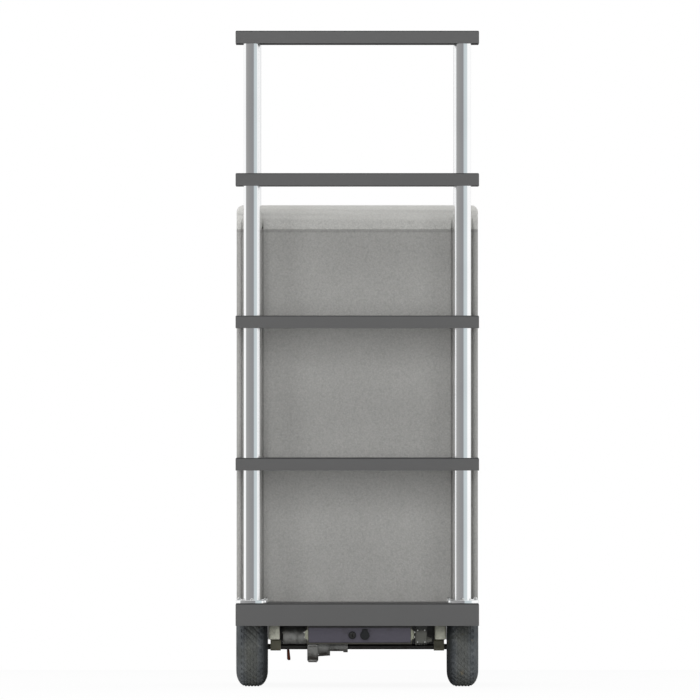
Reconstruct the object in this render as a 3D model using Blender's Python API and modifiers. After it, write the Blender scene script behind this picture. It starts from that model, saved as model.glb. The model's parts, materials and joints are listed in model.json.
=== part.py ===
"""Electric moving cart: an open rack of four shelves on chrome posts, a lidded
bin behind it, a pressed steel deck, and a battery drive unit under the deck.

Metres, +Z up. The rack is at the front (-Y), the handle at the back (+Y), and
the origin is on the floor under the middle of the whole cart.
"""
import math

import bmesh
import bpy
from mathutils import Vector

# The whole cart
WIDTH = 0.660
HANDLE_OVERHANG = 0.100
SEAT_GAP = 0.0003
RUNNING_GAP = 0.001
CUT_OVERRUN = 0.010
WELD_DISTANCE = 0.00001

# Deck: a pressed tray with a turned-down skirt
DECK_LENGTH = 0.900
DECK_UNDERSIDE = 0.167
DECK_SKIRT = 0.061
DECK_SHEET = 0.003
DECK_BEND = 0.004
ARCH_HALF_LENGTH = 0.122
ARCH_HEADROOM = 0.0045
ARCH_CORNER = 0.030

# Rack: shelves with turned-down lips, on round posts
RACK_DEPTH = 0.380
LOWER_SHELF_TOP = 0.622
SHELF_SPACING = 0.386
SHELF_LIP = 0.034
SHELF_SHEET = 0.002
SHELF_BEND = 0.003
POST_RADIUS = 0.023
POST_WALL = 0.002
POST_INSET = 0.045
SLEEVE_WALL = 0.0035
SLEEVE_SETBACK = 0.004
FLANGE_RADIUS = 0.044
FLANGE_THICKNESS = 0.008
FLANGE_CHAMFER = 0.0015

# Bin behind the rack
BIN_CLEARANCE = 0.020
BIN_TO_DECK_REAR = 0.080
BIN_SIDE_SETBACK = 0.001
BIN_HEIGHT = 1.0157
BIN_WALL = 0.0055
BIN_FRONT_WALL = 0.013
BIN_FLOOR = 0.006
BIN_REAR_CORNER = 0.020
BIN_INNER_CORNER = 0.015
BEAD_RADIUS = 0.0075
EDGE_GROOVE_WIDTH = 0.0035
EDGE_GROOVE_DEPTH = 0.006
PILLAR_SETBACK = 0.001
PILLAR_WIDTH = 0.071
PANEL_SETBACK = 0.003
PANEL_GROOVE_WIDTH = 0.005
PANEL_GROOVE_DEPTH = 0.008
GROOVE_SLOPE = 0.001

# Lid of the bin
LID_HEIGHT = 0.0655
LID_ROLL = 0.061
LID_SIDE_ROUND = 0.018
LID_REAR_ROUND = 0.010
LID_WALL = 0.0045

# Hinge of the lid
HINGE_OFFSET = 0.008
HINGE_RADIUS = 0.0065
HINGE_PIN_RADIUS = 0.0025
HINGE_END_SETBACK = 0.049
HINGE_KNUCKLE_GAP = 0.0005
HINGE_LEAF_SETBACK = 0.0015
HINGE_ROOT = 0.003

# Frame rails and the beam that carries the casters
RAIL_INSET = 0.0885
RAIL_WIDTH = 0.026
RAIL_HEIGHT = 0.0397
RAIL_WALL = 0.0025
RAIL_FRONT_SETBACK = 0.020
BEAM_END_SETBACK = 0.010
BEAM_DEPTH = 0.100
BEAM_HEIGHT = 0.0417
BEAM_WALL = 0.003
BEAM_REAR_SETBACK = 0.080

# Drive wheels
AXLE_FROM_FRONT = 0.228
TYRE_RADIUS = 0.108
TYRE_WIDTH = 0.086
TYRE_SHOULDER_WIDTH = 0.024
TYRE_SHOULDER_HEIGHT = 0.032
TYRE_BEAD_WIDTH = 0.072
TYRE_BEAD_HEIGHT = 0.012
WHEEL_INSET = 0.044
RIM_RADIUS = 0.052
RIM_WALL = 0.0045
RIM_DRAFT = 0.002
RIM_WEB = 0.010
RIM_WEB_OFFSET = 0.001
RIM_HOLE_RADIUS = 0.006
HUB_RADIUS = 0.0185
HUB_DRAFT = 0.003
HUB_LENGTH = 0.062
HUB_OFFSET = 0.005
SHAFT_RADIUS = 0.0075
SHAFT_END = 0.004
SHAFT_MEETING_GAP = 0.001

# Hangers and bearing blocks that carry the wheel shafts
HANGER_WIDTH = 0.031
HANGER_LENGTH = 0.070
HANGER_WALL = 0.004
BEARING_TOP_ABOVE_AXLE = 0.0187
BEARING_BELOW_AXLE = 0.0105
BEARING_LENGTH = 0.050
BEARING_SETBACK = 0.0055
BEARING_WIDTH = 0.028
BEARING_ROUND = 0.004

# Gear case of the drive unit
CASE_WIDTH = 0.030
CASE_AXLE_RADIUS = 0.039
CASE_MOTOR_RADIUS = 0.040
CASE_ROUND = 0.003
CASE_EAR_RADIUS = 0.005
CASE_EAR_WIDTH = 0.020
BOSS_RADIUS = 0.0265
BOSS_LENGTH = 0.032
NECK_RADIUS = 0.0125
NECK_LENGTH = 0.036
COLLAR_RADIUS = 0.0155
COLLAR_LENGTH = 0.012
BOSS_DRAFT = 0.002

# Motor with its brake, and the brake release lever
MOTOR_END_ROOM = 0.0082
MOTOR_BACK_OF_AXLE = 0.045
MOTOR_ABOVE_AXLE = 0.037
MOTOR_RADIUS = 0.038
MOTOR_LENGTH = 0.048
MOTOR_BAND = 0.006
MOTOR_BAND_DEPTH = 0.0015
BRAKE_RADIUS = 0.035
BRAKE_LENGTH = 0.018
MOTOR_ROUND = 0.003
LEVER_PIVOT_DROP = 0.0405
LEVER_FROM_END = 0.0138
LEVER_EYE_RADIUS = 0.0042
LEVER_EYE_WIDTH = 0.006
LEVER_REACH = 0.034
LEVER_LEAN = 0.0035
LEVER_RADIUS = 0.0031
LEVER_PIN_RADIUS = 0.0015
EAR_WIDTH = 0.003
EAR_RADIUS = 0.0045
EAR_LENGTH_INTO_BRAKE = 0.010
SADDLE_WIDTH = 0.025
SADDLE_LENGTH = 0.050
SADDLE_FROM_CASE = 0.014

# Channel behind the drive unit, between the rails
CHANNEL_BOTTOM = 0.110
CHANNEL_SHEET = 0.004
CHANNEL_FLANGE = 0.030
CHANNEL_FROM_CASE = 0.004

# Battery box under the front of the deck
BOX_LEFT_ROOM = 0.0775
BOX_FRONT_SETBACK = 0.015
BOX_DEPTH = 0.150
BOX_BOTTOM = 0.1206
BOX_SHEET = 0.002
BOX_BEND = 0.003
BATTERY_SIDE_ROOM = 0.006
BATTERY_HEIGHT = 0.088
BATTERY_ROUND = 0.004
STRAP_SHEET = 0.003
STRAP_WIDTH = 0.026
STRAP_FOOT = 0.009
STRAP_ROOM = 0.0007
STRAP_LUG = 0.006
STRAP_LUG_BOTTOM = 0.131
STRAP_LUG_TOP = 0.157
STRAP_FRONT_SETBACK = 0.003

# Key switch and charging socket on the front of the battery box
FITTING_HEIGHT = 0.1415
KEY_FROM_MIDDLE = -0.0196
KEY_RADIUS = 0.0105
KEY_COLLAR = 0.005
KEY_ROTOR_RADIUS = 0.0072
KEY_ROTOR_PROUD = 0.0025
KEY_SLOT_WIDTH = 0.0022
KEY_SLOT_LENGTH = 0.0082
KEY_SLOT_DEPTH = 0.005
SOCKET_FROM_MIDDLE = 0.0146
SOCKET_RADIUS = 0.0127
SOCKET_COLLAR = 0.0045
SOCKET_BORE = 0.0085
SOCKET_DEPTH = 0.003
CAP_RADIUS = 0.0117
CAP_THICKNESS = 0.0035
CAP_PIVOT_RISE = 0.0150
CAP_BARREL_RADIUS = 0.0018
CAP_BARREL_WIDTH = 0.008
CAP_PIN_RADIUS = 0.0008
CAP_EAR_WIDTH = 0.003

# Motor controller
CONTROLLER_SIDE_ROOM = 0.0135
CONTROLLER_WIDTH = 0.030
CONTROLLER_DEPTH = 0.110
CONTROLLER_FRONT_SETBACK = 0.040
CONTROLLER_BOTTOM = 0.115
CONTROLLER_FIN = 0.003
CONTROLLER_FIN_DEPTH = 0.006
CONTROLLER_FINS = 6
GLAND_RADIUS = 0.0085
GLAND_NOSE_RADIUS = 0.006
GLAND_LENGTH = 0.014
GLAND_HEIGHT = 0.1287
GLAND_FROM_FRONT = 0.014

# Rear casters
CASTER_INSET = 0.045
CASTER_TRAIL = 0.045
CASTER_WHEEL_RADIUS = 0.075
CASTER_WHEEL_WIDTH = 0.045
CASTER_TREAD = 0.020
CASTER_TREAD_ROUND = 0.010
CASTER_PLATE_WIDTH = 0.080
CASTER_PLATE_LENGTH = 0.100
CASTER_PLATE_SHEET = 0.005
CASTER_PLATE_CORNER = 0.010
RACE_RADIUS = 0.030
RACE_HEIGHT = 0.008
CROWN_TOP_RADIUS = 0.034
CROWN_RADIUS = 0.028
CROWN_HEIGHT = 0.0105
KINGPIN_RADIUS = 0.006
KINGPIN_NUT_RADIUS = 0.009
FORK_SHEET = 0.003
FORK_SIDE_GAP = 0.004
FORK_TOP_LENGTH = 0.060
FORK_EYE_RADIUS = 0.014
CASTER_AXLE_RADIUS = 0.006
CASTER_HUB_RADIUS = 0.016
CASTER_WEB = 0.012
CASTER_RIM_WALL = 0.006

# Push handle behind the bin
HANDLE_TUBE_RADIUS = 0.016
HANDLE_TUBE_WALL = 0.002
HANDLE_SIDE_SETBACK = 0.100
HANDLE_FOOT_FROM_REAR = 0.040
HANDLE_KNEE = 0.720
HANDLE_HEIGHT = 1.010
HANDLE_KNEE_BEND = 0.100
HANDLE_TOP_BEND = 0.055
FOOT_DISC_RADIUS = 0.032
FOOT_DISC_THICKNESS = 0.006
FOOT_SOCKET_WALL = 0.004
FOOT_SOCKET_HEIGHT = 0.045
GRIP_WALL = 0.0037
GRIP_END_ROOM = 0.007

# Control head on the handle, and its controls
HEAD_WIDTH = 0.116
HEAD_DEPTH = 0.072
HEAD_HEIGHT = 0.056
HEAD_SLOPE = 0.022
HEAD_ROUND = 0.012
HEAD_EDGE = 0.003
CONTROLS_FROM_FRONT = 0.026
HEAD_REAR_WALL = 0.003
HEAD_BELOW_TUBE = 0.020
DISPLAY_WIDTH = 0.036
DISPLAY_LENGTH = 0.024
DISPLAY_THICKNESS = 0.002
DISPLAY_PROUD = 0.0006
STOP_RADIUS = 0.011
STOP_CAP = 0.007
STOP_STEM_RADIUS = 0.006
STOP_STEM = 0.010
STOP_TRAVEL = 0.004
STOP_PLACE = 0.038
ROCKER_WIDTH = 0.012
ROCKER_LENGTH = 0.020
ROCKER_DEPTH = 0.007
ROCKER_RISE = 0.004
ROCKER_PLACE = -0.038
ROCKER_ROOM = 0.0012
THROTTLE_COLLAR = 0.008
THROTTLE_COLLAR_WALL = 0.0035
THROTTLE_REACH = 0.036
THROTTLE_THICKNESS = 0.004
THROTTLE_ROUND = 0.0015

# Angles in degrees
ROUNDED_EDGE_ANGLE = 50
AXLE_EAR_ANGLES = (135, 215)
MOTOR_EAR_ANGLES = (-50, 50)
FORK_EYE_WRAP = 20

# Counts of the flats on round pieces
LARGE_ROUND = 24
MIDDLE_ROUND = 18
SLEEVE_ROUND = 12
SMALL_ROUND = 10
CORNER_STEPS = 4
SHOULDER_STEPS = 3
ROLL_STEPS = 5
KNUCKLES = 5
RIM_HOLES = 4
SHELVES = 4
BEND_STEPS = 2

# Places that follow from the sizes above
CART_LENGTH = DECK_LENGTH + HANDLE_OVERHANG
FRONT = -CART_LENGTH / 2
REAR = CART_LENGTH / 2
DECK_TOP = DECK_UNDERSIDE + DECK_SKIRT
DECK_REAR = FRONT + DECK_LENGTH
PLATE_UNDERSIDE = DECK_TOP - DECK_SHEET
ON_DECK = DECK_TOP + SEAT_GAP
UNDER_DECK = PLATE_UNDERSIDE - SEAT_GAP
AXLE_Y = FRONT + AXLE_FROM_FRONT
AXLE = Vector((0, AXLE_Y, TYRE_RADIUS))
MOTOR_AXIS = AXLE + Vector((0, MOTOR_BACK_OF_AXLE, MOTOR_ABOVE_AXLE))
POST_X = WIDTH / 2 - POST_INSET
POST_ROWS = (FRONT + POST_INSET, FRONT + RACK_DEPTH - POST_INSET)
POST_CENTRES = [(side * POST_X, row) for row in POST_ROWS for side in (-1, 1)]
BIN_FRONT = FRONT + RACK_DEPTH + BIN_CLEARANCE
BIN_REAR = DECK_REAR - BIN_TO_DECK_REAR
BIN_WIDTH = WIDTH - 2 * BIN_SIDE_SETBACK
PANEL_HALF_WIDTH = BIN_WIDTH / 2 - PILLAR_WIDTH
HINGE_LENGTH = BIN_WIDTH - 2 * HINGE_END_SETBACK
BIN_RIM = ON_DECK + BIN_HEIGHT
LID_BOTTOM = BIN_RIM + SEAT_GAP
LID_TOP = LID_BOTTOM + LID_HEIGHT
HINGE_AXIS = Vector((0, BIN_REAR + HINGE_OFFSET, (BIN_RIM + LID_BOTTOM) / 2))
SHAFT_BORE = (SHAFT_RADIUS + SEAT_GAP) / math.cos(math.pi / MIDDLE_ROUND)
BOX_FRONT = FRONT + BOX_FRONT_SETBACK
BOX_REAR = BOX_FRONT + BOX_DEPTH
GRIP_OUTER = HANDLE_TUBE_RADIUS + SEAT_GAP + GRIP_WALL
BAR = Vector((0, REAR - GRIP_OUTER, HANDLE_HEIGHT))
FOOT_Y = DECK_REAR - HANDLE_FOOT_FROM_REAR
HANDLE_HALF_WIDTH = WIDTH / 2 - HANDLE_SIDE_SETBACK
GRIP_START = HEAD_WIDTH / 2 + RUNNING_GAP + THROTTLE_COLLAR + RUNNING_GAP
GRIP_LENGTH = HANDLE_HALF_WIDTH - HANDLE_TOP_BEND - GRIP_END_ROOM - GRIP_START
HEAD_REAR = BAR.y + HANDLE_TUBE_RADIUS + SEAT_GAP + HEAD_REAR_WALL
HEAD_FRONT = HEAD_REAR - HEAD_DEPTH
HEAD_BOTTOM = BAR.z - HEAD_BELOW_TUBE
HEAD_TOP = HEAD_BOTTOM + HEAD_HEIGHT
HEAD_TILT = -math.atan2(HEAD_SLOPE, HEAD_DEPTH)
RAIL_OUTER = WIDTH / 2 - RAIL_INSET
RAIL_INNER = RAIL_OUTER - RAIL_WIDTH
WHEEL_CENTRE = WIDTH / 2 - WHEEL_INSET
HANGER_INNER = RAIL_OUTER - HANGER_WIDTH
BEARING_OUTER = RAIL_OUTER - BEARING_SETBACK
BEARING_INNER = BEARING_OUTER - BEARING_WIDTH
CASE_LEFT = HANGER_INNER - MOTOR_END_ROOM - MOTOR_LENGTH - BRAKE_LENGTH - SEAT_GAP
CONTROLLER_RIGHT = RAIL_INNER - CONTROLLER_SIDE_ROOM - GLAND_LENGTH
CONTROLLER_LEFT = CONTROLLER_RIGHT - CONTROLLER_WIDTH
BOX_LEFT = HANGER_INNER - BOX_LEFT_ROOM
BOX_RIGHT = CONTROLLER_LEFT - STRAP_ROOM - STRAP_FOOT - STRAP_SHEET - SEAT_GAP
BOX_MIDDLE = (BOX_RIGHT - BOX_LEFT) / 2
KEY_PLACE = BOX_MIDDLE + KEY_FROM_MIDDLE
SOCKET_PLACE = BOX_MIDDLE + SOCKET_FROM_MIDDLE
ORIGIN = Vector((0, 0, 0))
TURN_TO = {"X": (0, math.pi / 2, 0), "Y": (-math.pi / 2, 0, 0), "Z": (0, 0, 0)}


# Working tools

def empty_scene():
    for old in list(bpy.data.objects):
        bpy.data.objects.remove(old, do_unlink=True)
    root = bpy.context.scene.collection
    cart = bpy.data.collections.new("electric_moving_cart")
    cutters = bpy.data.collections.new("cutters")
    root.children.link(cart)
    root.children.link(cutters)
    return cart, cutters


CART, CUTTERS = empty_scene()


def finish_of(name, colour, roughness, metallic):
    material = bpy.data.materials.new(name)
    material.use_nodes = True
    shader = material.node_tree.nodes["Principled BSDF"]
    shader.inputs["Base Color"].default_value = (*colour, 1.0)
    shader.inputs["Roughness"].default_value = roughness
    shader.inputs["Metallic"].default_value = metallic
    return material


GREY_STEEL = finish_of("grey_steel", (0.12, 0.12, 0.12), 0.5, 0.0)
CHROME = finish_of("chrome", (0.75, 0.78, 0.80), 0.08, 1.0)
ZINC = finish_of("zinc", (0.42, 0.42, 0.34), 0.35, 0.9)
BIN_PLASTIC = finish_of("bin_plastic", (0.30, 0.29, 0.28), 0.6, 0.0)
TYRE_RUBBER = finish_of("tyre_rubber", (0.06, 0.06, 0.065), 0.8, 0.0)
CAST_METAL = finish_of("cast_metal", (0.20, 0.20, 0.19), 0.5, 0.8)
MOTOR_PAINT = finish_of("motor_paint", (0.15, 0.15, 0.145), 0.45, 0.3)
BOX_PAINT = finish_of("box_paint", (0.08, 0.075, 0.095), 0.45, 0.0)
BLACK_PLASTIC = finish_of("black_plastic", (0.02, 0.02, 0.02), 0.45, 0.0)
RED_PLASTIC = finish_of("red_plastic", (0.35, 0.04, 0.02), 0.4, 0.0)
DARK_STEEL = finish_of("dark_steel", (0.05, 0.05, 0.05), 0.4, 0.8)
DISPLAY_GLASS = finish_of("display_glass", (0.03, 0.05, 0.05), 0.1, 0.0)


def add_object(name, data, place, collection=None):
    thing = bpy.data.objects.new(name, data)
    thing.location = place
    (collection or CART).objects.link(thing)
    return thing


def paint(thing, material):
    thing.data.materials.clear()
    thing.data.materials.append(material)
    return thing


def as_cutter(thing):
    for holder in thing.users_collection:
        holder.objects.unlink(thing)
    CUTTERS.objects.link(thing)
    thing.hide_render = True
    thing.display_type = "WIRE"
    return thing


def combine(target, other, operation):
    modifier = target.modifiers.new(operation.lower(), "BOOLEAN")
    modifier.operation = operation
    modifier.object = as_cutter(other)
    modifier.solver = "EXACT"
    return target


def cut(target, other):
    return combine(target, other, "DIFFERENCE")


def join(target, other):
    return combine(target, other, "UNION")


def mesh_from(build, name):
    mesh = bpy.data.meshes.new(name)
    work = bmesh.new()
    build(work)
    work.to_mesh(mesh)
    work.free()
    return mesh


def box(name, low, high, place=ORIGIN):
    """A box between two corners of the cart, with its origin at place."""
    low, high = Vector(low), Vector(high)

    def build(work):
        bmesh.ops.create_cube(work, size=1)
        bmesh.ops.scale(work, vec=high - low, verts=work.verts)
        bmesh.ops.translate(work, vec=(low + high) / 2 - place, verts=work.verts)

    return add_object(name, mesh_from(build, name), place)


def tray(name, low, high, open_side, sheet, bend):
    """A sheet-metal box that is open on one side, its wall grown inwards."""
    thing = box(name, low, high)

    def open_box(work):
        work.from_mesh(thing.data)
        gone = [face for face in work.faces if face.normal.dot(Vector(open_side)) > 0.5]
        bmesh.ops.delete(work, geom=gone, context="FACES")

    thing.data = mesh_from(open_box, name)
    round_edges(thing, bend, BEND_STEPS)
    wall = thing.modifiers.new("wall", "SOLIDIFY")
    wall.thickness = sheet
    wall.offset = -1
    wall.use_even_offset = True
    return thing


def round_edges(thing, width, segments=BEND_STEPS):
    modifier = thing.modifiers.new("round", "BEVEL")
    modifier.width = width
    modifier.segments = segments
    modifier.limit_method = "ANGLE"
    modifier.angle_limit = math.radians(ROUNDED_EDGE_ANGLE)
    modifier.use_clamp_overlap = True
    return thing


def turned(name, profile, place, axis="Z", steps=MIDDLE_ROUND, closed=False):
    """A body of revolution. The profile lists (radius, height along the axis)
    and runs down its outer side; a closed one is a ring round a bore."""
    def build(work):
        points = [work.verts.new((radius, 0, along)) for radius, along in profile]
        pairs = list(zip(points, points[1:]))
        if closed:
            pairs.append((points[-1], points[0]))
        for start, end in pairs:
            work.edges.new((start, end))

    thing = add_object(name, mesh_from(build, name), place)
    thing.rotation_euler = TURN_TO[axis]
    screw = thing.modifiers.new("turn", "SCREW")
    screw.axis = "Z"
    screw.angle = math.tau
    screw.steps = steps
    screw.render_steps = steps
    screw.use_merge_vertices = True
    screw.merge_threshold = WELD_DISTANCE
    screw.use_smooth_shade = True
    return thing


def rod(name, radius, start, end, place, axis="Z", steps=SMALL_ROUND):
    """A plain cylinder from start to end along its axis."""
    profile = [(0, end), (radius, end), (radius, start), (0, start)]
    return turned(name, profile, place, axis, steps)


def ring(name, outer, inner, start, end, place, axis="Z", steps=MIDDLE_ROUND):
    profile = [(outer, end), (outer, start), (inner, start), (inner, end)]
    return turned(name, profile, place, axis, steps, closed=True)


def round_bore(radius, steps=SMALL_ROUND):
    """The radius of a bore whose flats clear a round piece by the seat gap, for
    a piece with other flats than the bore has."""
    return (radius + SEAT_GAP) / math.cos(math.pi / steps)


def arc(centre, radii, start, end, steps=CORNER_STEPS):
    """Points on an arc; radii is one radius or a pair, and angles are degrees."""
    across, up = radii if isinstance(radii, tuple) else (radii, radii)
    points = []
    for step in range(steps + 1):
        angle = math.radians(start + (end - start) * step / steps)
        points.append((centre[0] + across * math.cos(angle), centre[1] + up * math.sin(angle)))
    return points


def filleted(points, bend, steps=CORNER_STEPS, closed=True):
    """The points of a line with its corners rounded, in two or three dimensions.
    The bend is one radius, or a list with one for each point."""
    corners = [Vector(point) for point in points]
    count = len(corners)
    radii = bend if isinstance(bend, list) else [bend] * count
    line = []
    for index, corner in enumerate(corners):
        if not closed and index in (0, count - 1):
            line.append(corner)
            continue
        before = (corners[index - 1] - corner).normalized()
        after = (corners[(index + 1) % count] - corner).normalized()
        opening = before.angle(after)
        radius = radii[index]
        reach = radius / math.tan(opening / 2)
        centre = corner + (before + after).normalized() * radius / math.sin(opening / 2)
        first = corner + before * reach - centre
        last = corner + after * reach - centre
        turn = math.pi - opening
        for step in range(steps + 1):
            share = step / steps
            spread = first * math.sin((1 - share) * turn) + last * math.sin(share * turn)
            line.append(centre + spread / math.sin(turn))
    return line


def rectangle(low, high):
    return [(low[0], low[1]), (high[0], low[1]), (high[0], high[1]), (low[0], high[1])]


def extruded(name, outlines, start, end, axis="Z", place=ORIGIN):
    """Flat outlines pushed along an axis; a second outline is a hole.

    Outlines hold the two coordinates that the axis leaves, in cart places:
    (x, y) along Z, (y, z) along X and (x, z) along Y."""
    curve = bpy.data.curves.new(name, "CURVE")
    curve.dimensions = "2D"
    curve.fill_mode = "BOTH"
    curve.extrude = (end - start) / 2
    flat_place = {"Z": (place.x, place.y), "X": (place.y, place.z), "Y": (place.x, place.z)}[axis]
    for outline in outlines:
        spline = curve.splines.new("POLY")
        spline.points.add(len(outline) - 1)
        spline.use_cyclic_u = True
        for point, spot in zip(spline.points, outline):
            point.co = (spot[0] - flat_place[0], spot[1] - flat_place[1], 0, 1)
    middle = (start + end) / 2
    turn, centre = {
        "Z": ((0, 0, 0), (place.x, place.y, middle)),
        "X": ((math.pi / 2, 0, math.pi / 2), (middle, place.y, place.z)),
        "Y": ((math.pi / 2, 0, 0), (place.x, middle, place.z)),
    }[axis]
    thing = add_object(name, curve, centre)
    thing.rotation_euler = turn
    return made_mesh(thing, place)


def made_mesh(curve_thing, place=ORIGIN):
    """The mesh of a curve object, welded, with its origin at place."""
    bpy.context.view_layer.update()
    seen = curve_thing.evaluated_get(bpy.context.evaluated_depsgraph_get())
    mesh = bpy.data.meshes.new_from_object(seen)
    mesh.transform(curve_thing.matrix_world)
    name = curve_thing.name
    bpy.data.objects.remove(curve_thing, do_unlink=True)

    def weld(work):
        work.from_mesh(mesh)
        bmesh.ops.translate(work, vec=-place, verts=work.verts)
        bmesh.ops.remove_doubles(work, verts=work.verts, dist=WELD_DISTANCE)
        bmesh.ops.recalc_face_normals(work, faces=work.faces)

    return add_object(name, mesh_from(weld, name), place)


def axis_empty(name, place, parent=None):
    """An empty that stands on a joint's axis and carries what turns there."""
    empty = bpy.data.objects.new(name, None)
    empty.location = place
    CART.objects.link(empty)
    if parent:
        carry(parent, [empty])
    return empty


def carry(parent, things):
    for thing in things:
        thing.location = thing.location - total_place(parent)
        thing.parent = parent


def total_place(thing):
    place = Vector(thing.location)
    while thing.parent:
        thing = thing.parent
        place += thing.location
    return place


# Deck, rails and caster beam

def make_deck():
    half = WIDTH / 2
    deck = tray("deck", (-half, FRONT, DECK_UNDERSIDE), (half, DECK_REAR, DECK_TOP),
                (0, 0, -1), DECK_SHEET, DECK_BEND)
    arch_top = 2 * TYRE_RADIUS + ARCH_HEADROOM
    low = (AXLE_Y - ARCH_HALF_LENGTH, DECK_UNDERSIDE - 2 * ARCH_CORNER)
    arch = filleted(rectangle(low, (AXLE_Y + ARCH_HALF_LENGTH, arch_top)), ARCH_CORNER)
    cut(deck, extruded("wheel_arches", [arch], -half - CUT_OVERRUN, half + CUT_OVERRUN, "X"))
    return paint(deck, GREY_STEEL)


def box_section(name, low, high, wall, start, end, axis):
    inner_low = (low[0] + wall, low[1] + wall)
    inner_high = (high[0] - wall, high[1] - wall)
    outlines = [rectangle(low, high), rectangle(inner_low, inner_high)]
    return paint(extruded(name, outlines, start, end, axis), GREY_STEEL)


def make_frame():
    beam_rear = DECK_REAR - BEAM_REAR_SETBACK
    beam_low = (beam_rear - BEAM_DEPTH, UNDER_DECK - BEAM_HEIGHT)
    box_section("caster_beam", beam_low, (beam_rear, UNDER_DECK), BEAM_WALL,
                BEAM_END_SETBACK - WIDTH / 2, WIDTH / 2 - BEAM_END_SETBACK, "X")
    rail_front = FRONT + DECK_SHEET + RAIL_FRONT_SETBACK
    rail_rear = beam_low[0] - SEAT_GAP
    for side, name in ((-1, "left_rail"), (1, "right_rail")):
        edges = sorted((side * RAIL_OUTER, side * RAIL_INNER))
        box_section(name, (edges[0], UNDER_DECK - RAIL_HEIGHT), (edges[1], UNDER_DECK),
                    RAIL_WALL, rail_front, rail_rear, "Y")


# Rack

def shelf_tops():
    return [LOWER_SHELF_TOP + SHELF_SPACING * level for level in range(SHELVES)]


def upright_rods(name, centres, radius, low, high, steps):
    def build(work):
        for x, y in centres:
            made = bmesh.ops.create_cone(work, cap_ends=True, segments=steps, radius1=radius,
                                         radius2=radius, depth=high - low)
            bmesh.ops.translate(work, vec=(x, y, (low + high) / 2), verts=made["verts"])

    return add_object(name, mesh_from(build, name), ORIGIN)


def make_shelf(name, top, is_top):
    half = WIDTH / 2
    bottom = top - SHELF_LIP
    shelf = tray(name, (-half, FRONT, bottom), (half, FRONT + RACK_DEPTH, top),
                 (0, 0, -1), SHELF_SHEET, SHELF_BEND)
    sleeve_bottom = bottom + SLEEVE_SETBACK
    sleeve_top = top - SHELF_SHEET / 2
    bore = round_bore(POST_RADIUS, SLEEVE_ROUND)
    join(shelf, upright_rods(name + "_sleeves", POST_CENTRES, bore + SLEEVE_WALL,
                             sleeve_bottom, sleeve_top, SLEEVE_ROUND))
    bore_top = top - SHELF_SHEET if is_top else top + CUT_OVERRUN
    cut(shelf, upright_rods(name + "_bores", POST_CENTRES, bore,
                            sleeve_bottom - SLEEVE_SETBACK / 2, bore_top, SLEEVE_ROUND))
    return paint(shelf, GREY_STEEL)


def make_rack():
    tops = shelf_tops()
    names = ("lower_shelf", "middle_shelf", "upper_shelf", "top_shelf")
    for name, top in zip(names, tops):
        make_shelf(name, top, top == tops[-1])
    post_top = tops[-1] - SHELF_SHEET - SEAT_GAP
    corners = ("front_left", "front_right", "rear_left", "rear_right")
    for corner, (x, y) in zip(corners, POST_CENTRES):
        post = ring(corner + "_post", POST_RADIUS, POST_RADIUS - POST_WALL, ON_DECK, post_top,
                    Vector((x, y, 0)), "Z", LARGE_ROUND)
        paint(post, CHROME)
        bore = round_bore(POST_RADIUS, MIDDLE_ROUND)
        edge = FLANGE_RADIUS - FLANGE_CHAMFER
        shoulder = FLANGE_THICKNESS - FLANGE_CHAMFER
        profile = [(edge, FLANGE_THICKNESS), (FLANGE_RADIUS, shoulder), (FLANGE_RADIUS, 0),
                   (bore, 0), (bore, FLANGE_THICKNESS)]
        flange = turned(corner + "_post_flange", profile, Vector((x, y, ON_DECK)), "Z",
                        MIDDLE_ROUND, closed=True)
        paint(flange, CHROME)


# Bin and lid

def bin_half_outline():
    """The right half of the bin seen from above, from the front middle to the rear."""
    half = BIN_WIDTH / 2
    panel = BIN_FRONT + PANEL_SETBACK
    panel_groove = BIN_FRONT + PANEL_GROOVE_DEPTH
    pillar = BIN_FRONT + PILLAR_SETBACK
    edge_groove = BIN_FRONT + EDGE_GROOVE_DEPTH
    groove_in = PANEL_HALF_WIDTH - PANEL_GROOVE_WIDTH / 2
    groove_out = PANEL_HALF_WIDTH + PANEL_GROOVE_WIDTH / 2
    bead_inner = half - 2 * BEAD_RADIUS
    pillar_edge = bead_inner - EDGE_GROOVE_WIDTH
    line = [(groove_in, panel), (groove_in + GROOVE_SLOPE, panel_groove),
            (groove_out - GROOVE_SLOPE, panel_groove), (groove_out, pillar),
            (pillar_edge, pillar), (pillar_edge + GROOVE_SLOPE, edge_groove),
            (bead_inner - GROOVE_SLOPE / 2, edge_groove)]
    bead_centre = (half - BEAD_RADIUS, BIN_FRONT + BEAD_RADIUS)
    line += arc(bead_centre, BEAD_RADIUS, 180, 360, 2 * CORNER_STEPS)
    rear_centre = (half - BIN_REAR_CORNER, BIN_REAR - BIN_REAR_CORNER)
    line += arc(rear_centre, BIN_REAR_CORNER, 0, 90)
    return line


def bin_outline():
    right = bin_half_outline()
    left = [(-x, y) for x, y in reversed(right)]
    return right + left


def bin_cavity(wall):
    half = BIN_WIDTH / 2 - wall
    low = (-half, BIN_FRONT + BIN_FRONT_WALL)
    return filleted(rectangle(low, (half, BIN_REAR - wall)), BIN_INNER_CORNER)


def hinge_knuckle(name, start, end, leaf_rises):
    """A hinge knuckle round the lid's axis, with the leaf that roots it in the wall."""
    side = 1 if leaf_rises else -1
    centre = (HINGE_AXIS.y, HINGE_AXIS.z)
    root = BIN_REAR - HINGE_ROOT
    outline = arc(centre, HINGE_RADIUS, side * 90, -side * 180, 2 * CORNER_STEPS)
    outline.append((centre[0] - HINGE_RADIUS, centre[1] + side * HINGE_LEAF_SETBACK))
    outline.append((root, centre[1] + side * HINGE_LEAF_SETBACK))
    outline.append((root, centre[1] + side * HINGE_RADIUS))
    return extruded(name, [outline], start, end, "X")


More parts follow.
